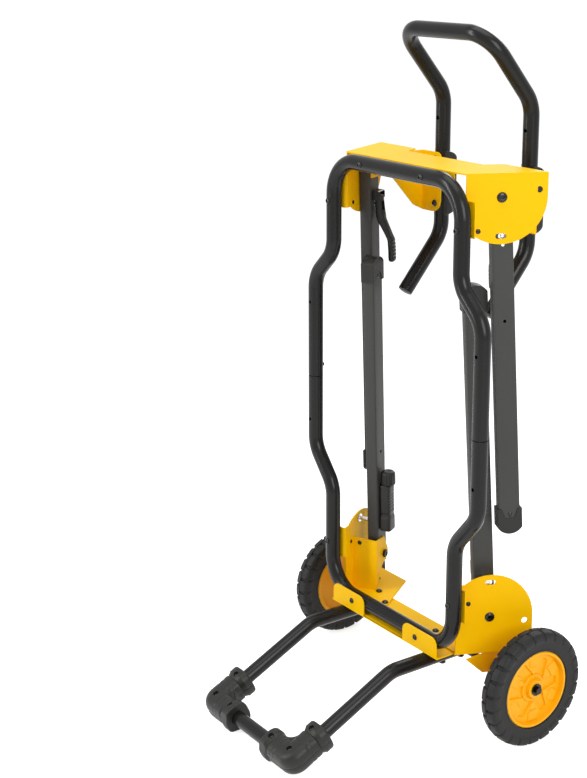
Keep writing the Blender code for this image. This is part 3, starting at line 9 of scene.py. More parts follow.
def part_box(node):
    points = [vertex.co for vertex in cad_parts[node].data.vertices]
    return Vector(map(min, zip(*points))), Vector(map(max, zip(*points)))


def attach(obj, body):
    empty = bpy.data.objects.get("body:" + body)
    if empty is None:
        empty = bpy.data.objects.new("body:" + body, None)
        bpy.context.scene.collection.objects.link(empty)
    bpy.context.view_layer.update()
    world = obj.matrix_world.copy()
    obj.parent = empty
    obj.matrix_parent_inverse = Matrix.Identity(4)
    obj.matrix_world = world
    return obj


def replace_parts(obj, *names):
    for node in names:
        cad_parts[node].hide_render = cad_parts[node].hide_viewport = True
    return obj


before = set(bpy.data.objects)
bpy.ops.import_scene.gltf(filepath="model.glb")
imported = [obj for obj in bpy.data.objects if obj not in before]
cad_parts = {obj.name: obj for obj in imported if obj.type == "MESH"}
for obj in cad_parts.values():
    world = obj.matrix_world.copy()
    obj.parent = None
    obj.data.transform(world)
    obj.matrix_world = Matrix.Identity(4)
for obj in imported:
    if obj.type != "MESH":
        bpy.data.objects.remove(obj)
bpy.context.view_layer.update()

# The stand's own sizes, in metres, as the solids have them
LOOP_Y = 0.0425
TUBE, SHEET, GAP = 0.0135, 0.0025, 0.0003
NARROW, WIDE = 0.171, 0.226
LOOP_TOP, LOOP_BOTTOM, SEAM = 0.953, 0.153, 0.547
SEAM_LINE = 0.0006
# Heights of each jog at its narrow end and at its wide end, and of the loop's open holes
UPPER_JOG, LOWER_JOG = (0.788, 0.735), (0.347, 0.412)
UPPER_HOLE, LOWER_HOLE, LOOP_HOLE_RADIUS = 0.686, 0.464, 0.0033
LOOP_BENDS = [0.055, 0.055, 0.062]
SEAM_SCREW_LIFT, SEAM_SCREW_TURN = 0.020, np.radians(30.0)
PLATE_ANGLE = np.radians(25.8)
PLATE_FRONT = np.array([0.157, LOOP_Y + 0.0147, 0.0])
PIVOT_BACK, UPPER_PIVOT, LOWER_PIVOT = 0.062, 0.9265, 0.203
LEG_THICK, LEAN = 0.022, np.radians(3.3)
OUTER_LEG, INNER_LEG = 0.0031, 0.0276
LOCK_ALONG, FOOT_SCREW_ALONG = 0.063, 0.541
TOE_X, TOE_TUBE, TOE_BEND_RADIUS, TOE_STOP = 0.1166, 0.0127, 0.055, 0.014
TOE_CORNER = np.array([TOE_X, LOOP_Y - 0.290, 0.0235])
TOE_BEND = np.array([TOE_X, LOOP_Y - 0.088, 0.1209])
TOE_BACK = np.array([TOE_X, LOOP_Y + 0.084, 0.1209])
WHEEL_CENTRE = np.array([0.2675, LOOP_Y + 0.092, 0.102])
HANDLE_X, HANDLE_Y = 0.112, LOOP_Y + 0.197
HANDLE_BENDS = [0.060, 0.060, 0.048]
HANDLE_HOLE, HANDLE_HOLE_RADIUS = 1.0165, 0.0038
GUIDE_BOTTOM, GUIDE_TOP, GUIDE_BOLTS = 0.842, 0.958, (0.864, 0.944)
SIDES = {"left": -1, "right": 1}


# Materials

class Wire:
    """A value inside a node tree, so that its maths reads as plain Python."""

    def __init__(self, tree, socket):
        self.tree, self.socket = tree, socket

    def maths(self, operation, first, second, clamp=False):
        return self.tree.node("ShaderNodeMath", {"operation": operation, "use_clamp": clamp},
                              inputs={0: first, 1: second})

    def __add__(self, other):
        return self.maths("ADD", self, other)

    def __sub__(self, other):
        return self.maths("SUBTRACT", self, other)

    def __rsub__(self, other):
        return self.maths("SUBTRACT", other, self)

    def __mul__(self, other):
        return self.maths("MULTIPLY", self, other)

    def clamped(self):
        return self.maths("ADD", self, 0.0, True)

    __radd__, __rmul__ = __add__, __mul__


class Tree:
    """A node tree whose nodes all come from one method."""

    def __init__(self, nodes):
        self.nodes = nodes

    def plug(self, socket, value):
        if isinstance(value, Wire):
            self.nodes.links.new(value.socket, socket)
        elif isinstance(value, tuple) and socket.type == "RGBA":
            socket.default_value = (*value, 1.0)
        else:
            socket.default_value = value

    def node(self, kind, settings=None, output=0, inputs=None, **sockets):
        """A node of a kind: its settings first, then its sockets by number or by name."""
        made = self.nodes.nodes.new(kind)
        for key, value in (settings or {}).items():
            setattr(made, key, value)
        for key, value in (inputs or {}).items():
            self.plug(made.inputs[key], value)
        for key, value in sockets.items():
            self.plug(made.inputs[key.replace("_", " ")], value)
        return Wire(self, made.outputs[output]) if made.outputs else None

    def seen(self):
        """One where a ray comes from the camera, a reflection or glass, else zero."""
        camera, shine, glass = (self.node("ShaderNodeLightPath", output="Is %s Ray" % ray)
                                for ray in ("Camera", "Glossy", "Transmission"))
        return (camera + shine + glass).clamped()


class Finish(Tree):
    """One material: a Principled shader and the nodes that vary it over the surface."""

    def __init__(self, name, **plain):
        self.material = bpy.data.materials.new(name)
        self.material.use_nodes = True
        super().__init__(self.material.node_tree)
        self.shader = self.nodes.nodes["Principled BSDF"]
        self.give(**plain)
        self.place = self.node("ShaderNodeTexCoord", output="Object")

    def noise(self, scale, detail=2.0, rough=0.5, stretch=None):
        place = self.place
        if stretch:
            place = self.node("ShaderNodeMapping", Vector=place, Scale=stretch)
        return self.node("ShaderNodeTexNoise", Vector=place, Scale=scale, Detail=detail, Roughness=rough)

    def ramp(self, value, low, high):
        return self.node("ShaderNodeMapRange", {"clamp": True}, Value=value, From_Min=low, From_Max=high)

    def mix(self, share, first, second):
        settings = {"data_type": "RGBA", "blend_type": "MIX"}
        return self.node("ShaderNodeMix", settings, 2, {6: first, 7: second}, Factor=share)

    def bump(self, height, strength, distance):
        return self.node("ShaderNodeBump", Height=height, Strength=strength, Distance=distance)

    def give(self, **sockets):
        for key, value in sockets.items():
            self.plug(self.shader.inputs[key.replace("_", " ")], value)
        return self.material


def shade(colour, factor):
    return tuple(min(1.0, channel * factor) for channel in colour)


def powder_coat(name, colour, rough, peel=0.25, mottle=0.10, scuffs=0.06, sheen=0.25):
    """Baked powder coat: a fine orange peel, slight mottling and faint rubbed streaks."""
    coat = Finish(name, Specular_IOR_Level=sheen)
    cloud = coat.noise(9.0, 3.0, 0.55)
    grit = coat.noise(1400.0, 1.0)
    rub = coat.ramp(coat.noise(34.0, 5.0, 0.7, (1.0, 1.0, 0.18)), 0.56, 0.74)
    speck = coat.ramp(coat.noise(2300.0, 0.0), 0.62, 0.78)
    tone = coat.mix(cloud, shade(colour, 1.0 - mottle), shade(colour, 1.0 + mottle))
    tone = coat.mix(rub * scuffs * 2.5, tone, shade(colour, 1.5))
    tone = coat.mix(speck * 0.18, tone, shade(colour, 1.9))
    gloss = rough + (cloud - 0.5) * 0.10 + rub * scuffs + (grit - 0.5) * 0.05
    skin = coat.bump(coat.noise(520.0) + grit * 0.4, peel, 0.00012)
    return coat.give(Base_Color=tone, Roughness=gloss, Normal=skin)


def moulded(name, colour, rough, grain=0.5, depth=0.00015):
    """Moulded plastic: spark-eroded grain, faint flow marks, and handled spots that are smoother, their colour
    lifted as a painted sheen.
    """
    stuff = Finish(name, Specular_IOR_Level=0.28)
    flow = stuff.noise(14.0, 3.0, 0.6, (1.0, 0.35, 1.0))
    grit = stuff.noise(900.0, 2.0, 0.55)
    wear_and_painted_sheen = stuff.ramp(stuff.noise(26.0, 4.0, 0.65), 0.55, 0.75)
    tone = stuff.mix(flow, shade(colour, 0.90), shade(colour, 1.12))
    # Handled spots: their lighter colour is a painted sheen, while their lower roughness below is the real
    # wear.
    tone = stuff.mix(wear_and_painted_sheen * 0.25, tone, shade(colour, 1.35))
    gloss = rough + (flow - 0.5) * 0.08 - wear_and_painted_sheen * 0.08 + (grit - 0.5) * 0.08
    return stuff.give(Base_Color=tone, Roughness=gloss, Normal=stuff.bump(grit, grain, depth))


def tyre_rubber():
    """Tyre rubber: dull black with dusty mottling and a fine mould texture."""
    stuff = Finish("tyre_rubber", Specular_IOR_Level=0.25)
    film = stuff.ramp(stuff.noise(22.0, 4.0, 0.6), 0.45, 0.75)
    grit = stuff.noise(700.0, 2.0, 0.6)
    tone = stuff.mix(film * 0.6, (0.010, 0.010, 0.0098), (0.026, 0.0255, 0.024))
    gloss = 0.52 + film * 0.16 + (grit - 0.5) * 0.1
    return stuff.give(Base_Color=tone, Roughness=gloss, Normal=stuff.bump(grit, 0.35, 0.0002))


def plated(name, colour, rough):
    """Plated or blackened steel fasteners: fine turning lines and slight cloudiness."""
    steel = Finish(name, Metallic=1.0)
    cloud = steel.noise(160.0, 3.0, 0.6)
    lines = steel.noise(2600.0, 1.0, 0.5, (1.0, 0.05, 1.0))
    tone = steel.mix(cloud, shade(colour, 0.8), shade(colour, 1.15))
    gloss = rough + (cloud - 0.5) * 0.2
    return steel.give(Base_Color=tone, Roughness=gloss, Normal=steel.bump(lines, 0.15, 0.00005))


BLACK_COAT = powder_coat("satin_black_coat", (0.009, 0.009, 0.0085), 0.24, sheen=0.21)
GREY_COAT = powder_coat("satin_grey_coat", (0.047, 0.047, 0.044), 0.46, scuffs=0.04)
YELLOW_COAT = powder_coat("yellow_coat", (0.98, 0.54, 0.0), 0.44, peel=0.18, mottle=0.05,
                          scuffs=0.02, sheen=0.10)
HUB_PLASTIC = moulded("hub_plastic", (0.97, 0.43, 0.0), 0.42, 0.15, 0.0001)
BLACK_PLASTIC = moulded("black_plastic", (0.014, 0.014, 0.0125), 0.40, 0.8, 0.0003)
RUBBER = tyre_rubber()
BLACK_STEEL = plated("blackened_steel", (0.040, 0.040, 0.038), 0.26)
ZINC = plated("zinc_plate", (0.66, 0.67, 0.68), 0.28)
DARK_HOLE = moulded("hole_shadow", (0.006, 0.006, 0.006), 0.8)


# Shapes: a closed shape is a pair, its points and its faces

def piece(name, points, faces, look, body, smooth=35.0):
    """A closed mesh from arrays, its faces turned outward, riding on a body."""
    mesh = bpy.data.meshes.new(name)
    mesh.from_pydata(points.reshape(-1, 3).tolist(), [], faces)
    made = bpy.data.objects.new(name, mesh)
    bpy.context.scene.collection.objects.link(made)
    work = bmesh.new()
    work.from_mesh(mesh)
    bmesh.ops.remove_doubles(work, verts=work.verts, dist=0.000002)
    bmesh.ops.recalc_face_normals(work, faces=work.faces)
    work.to_mesh(mesh)
    work.free()
    return dressed(made, look, body, smooth)


def dressed(made, look, body=None, smooth=35.0):
    """Give a piece its finish and its smooth shading, and let it ride on a body."""
    made.data.materials.clear()
    made.data.materials.append(look)
    made.data.shade_smooth()
    made.data.set_sharp_from_angle(angle=np.radians(smooth))
    if body:
        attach(made, body)
    return made


def merged(shapes):
    """Several closed shapes as one."""
    points = [points.reshape(-1, 3) for points, _ in shapes]
    starts = np.cumsum([0] + [len(part) for part in points]).tolist()
    faces = [[index + start for index in face] for start, (_, quads) in zip(starts, shapes) for face in quads]
    return np.concatenate(points), faces


def gathered(name, shapes, look, body):
    """Several closed shapes of one kind as one piece."""
    return piece(name, *merged(shapes), look, body)


def grid_faces(rows, columns, wrap_rows=False, caps=True):
    """Quads over a grid of points, closed round its columns, with a cap at each end row."""
    i = np.arange(rows if wrap_rows else rows - 1)[:, None]
    j = np.arange(columns)[None, :]
    i, j = np.broadcast_arrays(i, j)
    up, across = (i + 1) % rows, (j + 1) % columns
    quads = np.stack([i * columns + j, up * columns + j, up * columns + across, i * columns + across], -1)
    faces = quads.reshape(-1, 4).tolist()
    if caps and not wrap_rows:
        faces.append(np.arange(columns)[::-1].tolist())
        faces.append((np.arange(columns) + (rows - 1) * columns).tolist())
    return faces


def full_turn(count):
    return np.linspace(0, 2 * np.pi, count, endpoint=False)


def rounded_square(angle, power):
    """Radius of a rounded square of half width 1 at an angle: (|cos|^power + |sin|^power)^(-1/power)."""
    return (np.abs(np.cos(angle)) ** power + np.abs(np.sin(angle)) ** power) ** (-1 / power)


def step(value, low, high):
    """Zero below low, one above high, and an even S-curve between them."""
    share = np.clip((value - low) / (high - low), 0, 1)
    return share * share * (3 - 2 * share)


def band(value, low, high, edge):
    """One from low to high, falling to zero over the edge's width."""
    return step(value, low, low + edge) * (1 - step(value, high, high + edge))


def within(value, half, edge):
    """One where a value is nearer to zero than half, falling over the edge's width."""
    return 1 - step(np.abs(value), half, half + edge)


def lengths(path):
    """The distance run along a path at each of its points."""
    return np.concatenate([[0], np.cumsum(np.linalg.norm(np.diff(path, axis=0), axis=1))])


def rounded_path(points, radii, degrees=3.0):
    """Straight runs joined by arcs: each corner's arc lies at its radius from both runs."""
    points = [np.array(point, float) for point in points]
    path = [points[0][None]]
    for k, radius in zip(range(1, len(points) - 1), radii):
        before, after = points[k - 1] - points[k], points[k + 1] - points[k]
        before, after = before / np.linalg.norm(before), after / np.linalg.norm(after)
        swing = np.pi - np.arccos(np.clip(before @ after, -1, 1))
        middle = (before + after) / np.linalg.norm(before + after)
        centre = points[k] + middle * radius / np.cos(swing / 2)
        first = points[k] + before * radius * np.tan(swing / 2) - centre
        last = points[k] + after * radius * np.tan(swing / 2) - centre
        share = np.linspace(0, 1, max(3, int(np.degrees(swing) / degrees) + 1))[:, None]
        arc = (first * np.sin((1 - share) * swing) + last * np.sin(share * swing)) / np.sin(swing)
        path.append(centre + arc)
    path.append(points[-1][None])
    return np.concatenate(path)


def both_halves(right, bends):
    """A rounded path through one half's points and on through their mirror images."""
    left = [(-x, y, z) for x, y, z in right[::-1]]
    return rounded_path(right + left, bends + bends[::-1])


def along(path, side):
    """Frames carried along a path: at each point two directions across its run."""
    run = np.gradient(path, axis=0)
    run /= np.linalg.norm(run, axis=1, keepdims=True)
    side = np.array(side, float)
    across = np.empty_like(path)
    for k, ahead in enumerate(run):
        side = side - ahead * (side @ ahead)
        side = side / np.linalg.norm(side)
        across[k] = side
    return across, np.cross(run, across)


def pipe(name, path, radius, look, side, sides):
    """A round bar: a circle of the bar's radius carried along the path, its end edges eased."""
    rim = 0.0008
    run = np.gradient(path, axis=0)
    first, last = run[0] / np.linalg.norm(run[0]), run[-1] / np.linalg.norm(run[-1])
    path = np.concatenate([path[:1], path[:1] + first * rim, path[1:-1], path[-1:] - last * rim, path[-1:]])
    size = np.full(len(path), radius)
    size[0] = size[-1] = radius - rim
    across, over = along(path, side)
    angle = full_turn(sides)
    ring = np.cos(angle)[None, :, None] * across[:, None] + np.sin(angle)[None, :, None] * over[:, None]
    points = path[:, None] + ring * size[:, None, None]
    return piece(name, points, grid_faces(len(path), sides), look, "frame", 40.0)


def lathe(profile, sides=48, swell=None):
    """Points of a profile (radius, height) turned about Z; swell(angle, row) scales each radius."""
    profile = np.array(profile, float)
    angle = full_turn(sides)
    radius = np.repeat(profile[:, :1], sides, 1)
    if swell is not None:
        radius = radius * swell(angle[None, :], np.arange(len(profile))[:, None])
    height = np.repeat(profile[:, 1:], sides, 1)
    return np.stack([radius * np.cos(angle), radius * np.sin(angle), height], -1)


def aimed(points, place, direction):
    """Turn +Z to a direction and move to a place."""
    lie = np.array(Vector(direction).to_track_quat("Z", "Y").to_matrix())
    return points @ lie.T + np.array(place)


def rod(start, end, radius, sides=32):
    """A plain cylinder between two points, for a hole or a shank."""
    start, end = np.array(start, float), np.array(end, float)
    length = np.linalg.norm(end - start)
    points = aimed(lathe([(radius, 0), (radius, length)], sides), start, end - start)
    return points, grid_faces(2, sides)


def through_tube(x, y, height, radius):
    """A hole from front to back through an upright tube."""
    reach = TUBE + 0.004
    return rod((x, y - reach, height), (x, y + reach, height), radius)


def carve(made, tools, smooth=40.0, folded=False):
    """Cut closed shapes out of a piece with one exact Boolean."""
    look = made.data.materials[0]
    tool = piece("carver", *merged(tools), DARK_HOLE, None)
    change = made.modifiers.new("carve", "BOOLEAN")
    change.operation, change.solver, change.object = "DIFFERENCE", "EXACT", tool
    change.use_self = folded
    bpy.context.view_layer.update()
    made_whole = made.evaluated_get(bpy.context.evaluated_depsgraph_get())
    mesh = bpy.data.meshes.new_from_object(made_whole)
    made.modifiers.clear()
    made.data = mesh
    bpy.data.objects.remove(tool, do_unlink=True)
    return dressed(made, look, None, smooth)


def eased_solid(node, look, body, width, segments):
    """A merged copy of a solid with its flat faces whole and its sharp edges rounded."""
    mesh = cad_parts[node].data.copy()
    made = bpy.data.objects.new(node + "_finished", mesh)
    bpy.context.scene.collection.objects.link(made)
    work = bmesh.new()
    work.from_mesh(mesh)
    bmesh.ops.remove_doubles(work, verts=work.verts, dist=0.000004)
    bmesh.ops.dissolve_limit(work, angle_limit=np.radians(0.6), verts=work.verts, edges=work.edges)
    work.to_mesh(mesh)
    work.free()
    sharp = 32.0
    dressed(made, look, body, sharp)
    change = made.modifiers.new("ease", "BEVEL")
    change.width, change.segments = width, segments
    change.limit_method, change.angle_limit = "ANGLE", np.radians(sharp)
    change.harden_normals = True
    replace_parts(made, node)
    return made


def painted(made, spots, reach, look):
    """Give the faces whose middles lie within reach of any spot a second finish."""
    made.data.materials.append(look)
    middles = np.array([polygon.center for polygon in made.data.polygons])
    gaps = np.linalg.norm(middles[:, None] - np.array(spots)[None], axis=2).min(1)
    slots = np.zeros(len(middles), np.int32)
    slots[gaps < reach] = len(made.data.materials) - 1
    made.data.polygons.foreach_set("material_index", slots)


def mirror(points, side):
    return points * np.array([side, 1, 1])


def plate_place(points, side):
    """Points of a corner plate in the stand's frame: (inboard of its outer face, back, up)."""
    cosine, sine = np.cos(PLATE_ANGLE), np.sin(PLATE_ANGLE)
    inboard, back, up = np.moveaxis(np.asarray(points, float), -1, 0)
    x = PLATE_FRONT[0] - cosine * inboard + sine * back
    y = PLATE_FRONT[1] + sine * inboard + cosine * back
    return np.stack([side * x, y, up], -1)


def leg_place(points, level, side):
    """Points of a leg in the stand's frame: (inboard, over its width, along it from its pivot)."""
    inboard, wide, down = np.moveaxis(np.asarray(points, float), -1, 0)
    way, pivot = (-1, UPPER_PIVOT) if level == "upper" else (1, LOWER_PIVOT)
    back = PIVOT_BACK + way * (wide * np.cos(LEAN) - down * np.sin(LEAN))
    up = pivot + way * (wide * np.sin(LEAN) + down * np.cos(LEAN))
    return plate_place(np.stack([inboard, back, up], -1), side)


# Screws
def hexagon(angle):
    """Radius of a hexagon at an angle, as a share of the radius to the middle of its sides."""
    return 1 / np.cos((angle % (np.pi / 3)) - np.pi / 6)


def button_head(place, direction, radius, height, sides=36):
    """A button head: a dome profile with a socket whose wall is a hexagon in the angle."""
    key, floor = radius * 0.42, height * 0.35

    def socket(angle, row):
        return np.where((row == 1) | (row == 2), hexagon(angle) * np.cos(np.pi / 6), 1.0)

    dome = [(radius * np.cos(t), height * (0.12 + 0.88 * np.sin(t))) for t in np.linspace(1.02, 0, 6)]
    profile = [(0, floor), (key, floor), (key, height * 0.97), (key * 1.18, height)]
    profile += dome + [(radius, 0), (0, 0)]
    return aimed(lathe(profile, sides, socket), place, direction), grid_faces(len(profile), sides, caps=False)


def hex_nut(place, direction, radius, height):
    """A nut: a six-sided prism with its corners turned down and a sunk bore."""
    flat, sides = radius * 0.86, 36

    def six(angle, row):
        return np.where((row == 1) | (row == 2), hexagon(angle), 1.0)

    profile = [(0, 0), (flat, 0), (flat, height * 0.88), (radius * 0.78, height),
               (radius * 0.45, height), (radius * 0.42, height * 0.7), (0, height * 0.7)]
    return aimed(lathe(profile, sides, six), place, direction), grid_faces(len(profile), sides, caps=False)


def bolt_set(place, length, head, nut, shank=0.0025):
    """A button head above Z zero, its shank and the nut past the grip's length. place turns
    such points into the stand's frame; head and nut are (radius, height)."""
    shapes = [button_head((0, 0, 0), (0, 0, 1), *head),
              rod((0, 0, 0.0002), (0, 0, -length - nut[1] / 2), shank, 20),
              hex_nut((0, 0, -length), (0, 0, -1), *nut)]
    return [(place(points), faces) for points, faces in shapes]


# Tube loop
def loop_half(name, node, seam, jog, level, hole):
    """Half of the loop: a round bar along its bends, with its open mounting holes."""
    right = [(WIDE, LOOP_Y, seam), (WIDE, LOOP_Y, jog[1]), (NARROW, LOOP_Y, jog[0]), (NARROW, LOOP_Y, level)]
    made = pipe(name, both_halves(right, LOOP_BENDS), TUBE, BLACK_COAT, (0, 1, 0), 48)
    carve(made, [through_tube(side * WIDE, LOOP_Y, hole, LOOP_HOLE_RADIUS) for side in (-1, 1)])
    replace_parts(made, node)


def seam_screw(side):
    """A screw head on the loop's seam, turned inboard from straight back."""
    aim = np.array([-side * np.sin(SEAM_SCREW_TURN), np.cos(SEAM_SCREW_TURN), 0.0])
    place = np.array([side * WIDE, LOOP_Y, SEAM + SEAM_SCREW_LIFT]) + aim * (TUBE - 0.0004)
    return button_head(place, aim, 0.0036, 0.0024)


loop_half("loop_upper_half", "frame_upper_loop", SEAM, UPPER_JOG, LOOP_TOP, UPPER_HOLE)
loop_half("loop_lower_half", "frame_lower_loop", SEAM - SEAM_LINE, LOWER_JOG, LOOP_BOTTOM, LOWER_HOLE)
gathered("seam_screws", [seam_screw(side) for side in (-1, 1)], BLACK_STEEL, "frame")

# Handle
right = [(HANDLE_X, LOOP_Y + 0.116, 0.712), (HANDLE_X, HANDLE_Y, 0.810),
         (HANDLE_X, HANDLE_Y, 1.061), (HANDLE_X, LOOP_Y + 0.098, 1.1777)]
handle = pipe("push_handle", both_halves(right, HANDLE_BENDS), TUBE, BLACK_COAT, (1, 0, 0), 48)
carve(handle, [through_tube(side * HANDLE_X, HANDLE_Y, HANDLE_HOLE, HANDLE_HOLE_RADIUS) for side in (-1, 1)])
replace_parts(handle, "handle_tube")


def handle_guide(name, side):
    """A moulded guide: a rounded-square section carried up the tube's back, its depth falling
    to nothing round a quarter circle at both ends, bored for the tube; with its two bolts."""
    x, sides = side * HANDLE_X, 64
    rounding, deep, front, half, overrun = 0.014, 0.0150, -TUBE / 2, TUBE + 0.0032, 0.01
    turn = np.linspace(0, np.pi / 2, 12)
    lift = rounding * (1 - np.cos(turn))
    straight = np.linspace(GUIDE_BOTTOM + rounding, GUIDE_TOP - rounding, 8)[1:-1]
    share = np.concatenate([np.sin(turn), np.ones(len(straight)), np.sin(turn)[::-1]]).clip(0.1, 1)[:, None]
    height = np.concatenate([GUIDE_BOTTOM + lift, straight, GUIDE_TOP - lift[::-1]])
    angle = full_turn(sides)
    square = rounded_square(angle, 5)
    across = x + half * (0.93 + 0.07 * share) * (square * np.cos(angle))
    back = HANDLE_Y + front + deep * share * (1 + square * np.sin(angle))
    points = np.stack([across, back, np.broadcast_to(height[:, None], back.shape)], -1)
    made = piece("handle_guide_%s_moulded" % name, points, grid_faces(len(height), sides),
                 BLACK_PLASTIC, "frame", 40.0)
    low, high = (x, HANDLE_Y, GUIDE_BOTTOM - overrun), (x, HANDLE_Y, GUIDE_TOP + overrun)
    carve(made, [rod(low, high, TUBE + GAP, sides)])
    head_radius, head_height, shank, shank_length = 0.0060, 0.0035, 0.0035, 0.008
    nut_radius, nut_height, nut_sink = 0.0065, 0.0030, 0.0002
    bolts = []
    for z in GUIDE_BOLTS:
        head = np.array([x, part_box("handle_guide_" + name)[0][1] + head_height, z])
        nut = (x, HANDLE_Y + front + 2 * deep - nut_sink, z)
        bolts += [button_head(head, (0, -1, 0), head_radius, head_height),
                  rod(head, head + (0, shank_length, 0), shank),
                  hex_nut(nut, (0, 1, 0), nut_radius, nut_height)]
    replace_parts(made, "handle_guide_" + name)
    gathered("guide_bolts_" + name, bolts, BLACK_STEEL, "frame")


for name, side in SIDES.items():
    eased_solid("handle_end_cap_" + name, BLACK_PLASTIC, "frame", 0.0006, 3)
    handle_guide(name, side)

# Sheet metal, with the heads and nuts of its bolts blackened: (across, back, further down to the nut)
STRIP_TOP = LOOP_BOTTOM - TUBE - GAP
STRIP_UNDER = STRIP_TOP - 2 * SHEET - 2 * GAP
HEAD_MIDDLE, HEAD_REACH, THROUGH_TOE_BAR = 0.0021, 0.0078, 0.026
STRIP_BOLTS = [(0.072, 0.0465, 0), (TOE_X, 0.025, THROUGH_TOE_BAR), (TOE_X, 0.067, THROUGH_TOE_BAR)]
AXLE_BRACKET_BOLTS = [(0.164, 0.100, 0)]


def bolt_spots(bolts, side):
    """The middles of each bolt's head and nut."""
    return [(side * x, LOOP_Y + back, z) for x, back, further in bolts
            for z in (STRIP_TOP + HEAD_MIDDLE, STRIP_UNDER - further - HEAD_MIDDLE)]


eased_solid("top_bracket", YELLOW_COAT, "frame", 0.0006, 3)
strip = eased_solid("bottom_cross_plate", YELLOW_COAT, "frame", 0.0005, 2)
painted(strip, bolt_spots(STRIP_BOLTS, -1) + bolt_spots(STRIP_BOLTS, 1), HEAD_REACH, BLACK_STEEL)
for name, side in SIDES.items():
    eased_solid("bottom_bracket_" + name, YELLOW_COAT, "frame", 0.0006, 3)
    bracket = eased_solid("axle_bracket_" + name, YELLOW_COAT, "frame", 0.0005, 2)
    painted(bracket, bolt_spots(AXLE_BRACKET_BOLTS, side), HEAD_REACH, BLACK_STEEL)

# Toe bar
toe_run = TOE_BEND - TOE_CORNER
toe_path = rounded_path([TOE_BACK, TOE_BEND, TOE_CORNER + toe_run / np.linalg.norm(toe_run) * TOE_STOP],
                        [TOE_BEND_RADIUS])
for name, side in SIDES.items():
    made = pipe("toe_bar_" + name, mirror(toe_path, side), TOE_TUBE, BLACK_COAT, (1, 0, 0), 40)
    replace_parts(made, "toe_tube_" + name)
reach, middle = np.array([TOE_X - TOE_STOP, 0, 0]), TOE_CORNER * np.array([0, 1, 1])
toe_middle = np.array([middle - reach, middle, middle + reach])
made = pipe("toe_bar_middle", toe_middle, TOE_TUBE, BLACK_COAT, (0, 1, 0), 40)
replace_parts(made, "toe_cross_tube")


def toe_elbow(name, side):
    """A moulded elbow: a rounded-square section swept round the corner, its width and height
    swelling at the collars, with a parting groove at mid height and three grooves round each
    arm. Below the floor and ahead of the bar's front the section is cut flat, as a foot."""
    arm, bend, sides = 0.066, 0.007, 96
    plain, swelling, collar_from, collar_run = 0.0222, 0.0026, 0.018, 0.004
    groove_depth, groove_width, end_round = 0.0019, 0.0010, 0.0012
    front, floor = TOE_CORNER[1] - 0.0238, 0.0002
    path = rounded_path([(-arm, 0, 0), (0, 0, 0), (0, arm, 0)], [bend], 5.0)
    straight = np.linspace(0, 1, 26)[:-1, None]
    path = np.concatenate([path[0] + (path[1] - path[0]) * straight, path[1:-1],
                           path[-1] + (path[-2] - path[-1]) * straight[::-1]])
    length = lengths(path)
    end = np.minimum(length, length[-1] - length)
    collar = np.clip((collar_from - end) / collar_run, 0, 1)
    size = plain + swelling * collar * (3 - 2 * collar) * collar
    for at in (0.0205, 0.0320, 0.0435):
        size = size - groove_depth * np.exp(-((end - at) / groove_width) ** 4)
    size = size - end_round * np.clip(1 - end / end_round, 0, 1)
    across, over = along(path, (0, 0, 1))
    angle = full_turn(sides)
    parting = 1 - 0.030 * np.exp(-(np.cos(angle) / 0.035) ** 2)
    ring = (rounded_square(angle, 2.9) * parting)[None, :, None] * (
        np.cos(angle)[None, :, None] * across[:, None] + np.sin(angle)[None, :, None] * over[:, None])
    slope = np.arctan2(toe_run[2], toe_run[1])
    tilt = np.array(Matrix.Rotation(slope, 3, "X"))
    points = (path[:, None] + ring * size[:, None, None]) @ tilt.T + TOE_CORNER
    points[..., 1] = np.maximum(points[..., 1], front)
    points[..., 2] = np.maximum(points[..., 2], floor)
    made = piece("toe_elbow_" + name, mirror(points, side), grid_faces(len(path), sides),
                 BLACK_PLASTIC, "frame", 30.0)
    sink, recess, recess_length, head_radius, head_height = 0.0035, 0.0050, 0.01, 0.0038, 0.0022
    lift, heads, recesses = mirror(tilt @ np.array([0, 0, 1.0]), side), [], []
    swollen = plain + swelling
    for x, y, top in ((-0.004, 0.004, plain), (-0.002, 0.053, swollen), (-0.053, 0.002, swollen)):
        seat = mirror(tilt @ np.array([x, y, top - sink]) + TOE_CORNER, side)
        recesses.append(rod(seat, seat + lift * recess_length, recess))
        heads.append(button_head(seat + lift * 0.0001, lift, head_radius, head_height))
    carve(made, recesses, 30.0, True)
    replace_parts(made, "toe_elbow_upper_" + name, "toe_elbow_lower_" + name)
    elbow_web(name, side, tilt)
    gathered("elbow_screws_" + name, heads, BLACK_STEEL, "frame")


def elbow_web(name, side, tilt):
    """The web in the elbow's inner corner: an outline with a quarter circle hollowed out of its
    free side, thick in the middle and drawn in towards its own centre at top and bottom."""
    near, radius, heart = 0.0205, 0.021, np.array([-0.019, 0.019])
    turn = np.linspace(0, np.pi / 2, 14)
    hollow = np.stack([-near - radius * (1 - np.sin(turn)), near + radius * (1 - np.cos(turn))], -1)
    outline = np.concatenate([hollow, [(-0.0150, 0.0415), (-0.0120, 0.0120), (-0.0415, 0.0150)]])
    levels = [(0.90, -0.0140), (1.0, -0.0125), (1.0, 0.0125), (0.90, 0.0140)]
    web = np.stack([np.column_stack([heart + (outline - heart) * share, np.full(len(outline), height)])
                    for share, height in levels])
    piece("elbow_web_" + name, mirror(web @ tilt.T + TOE_CORNER, side), grid_faces(len(levels), len(outline)),
          BLACK_PLASTIC, "frame", 30.0)


for name, side in SIDES.items():
    toe_elbow(name, side)


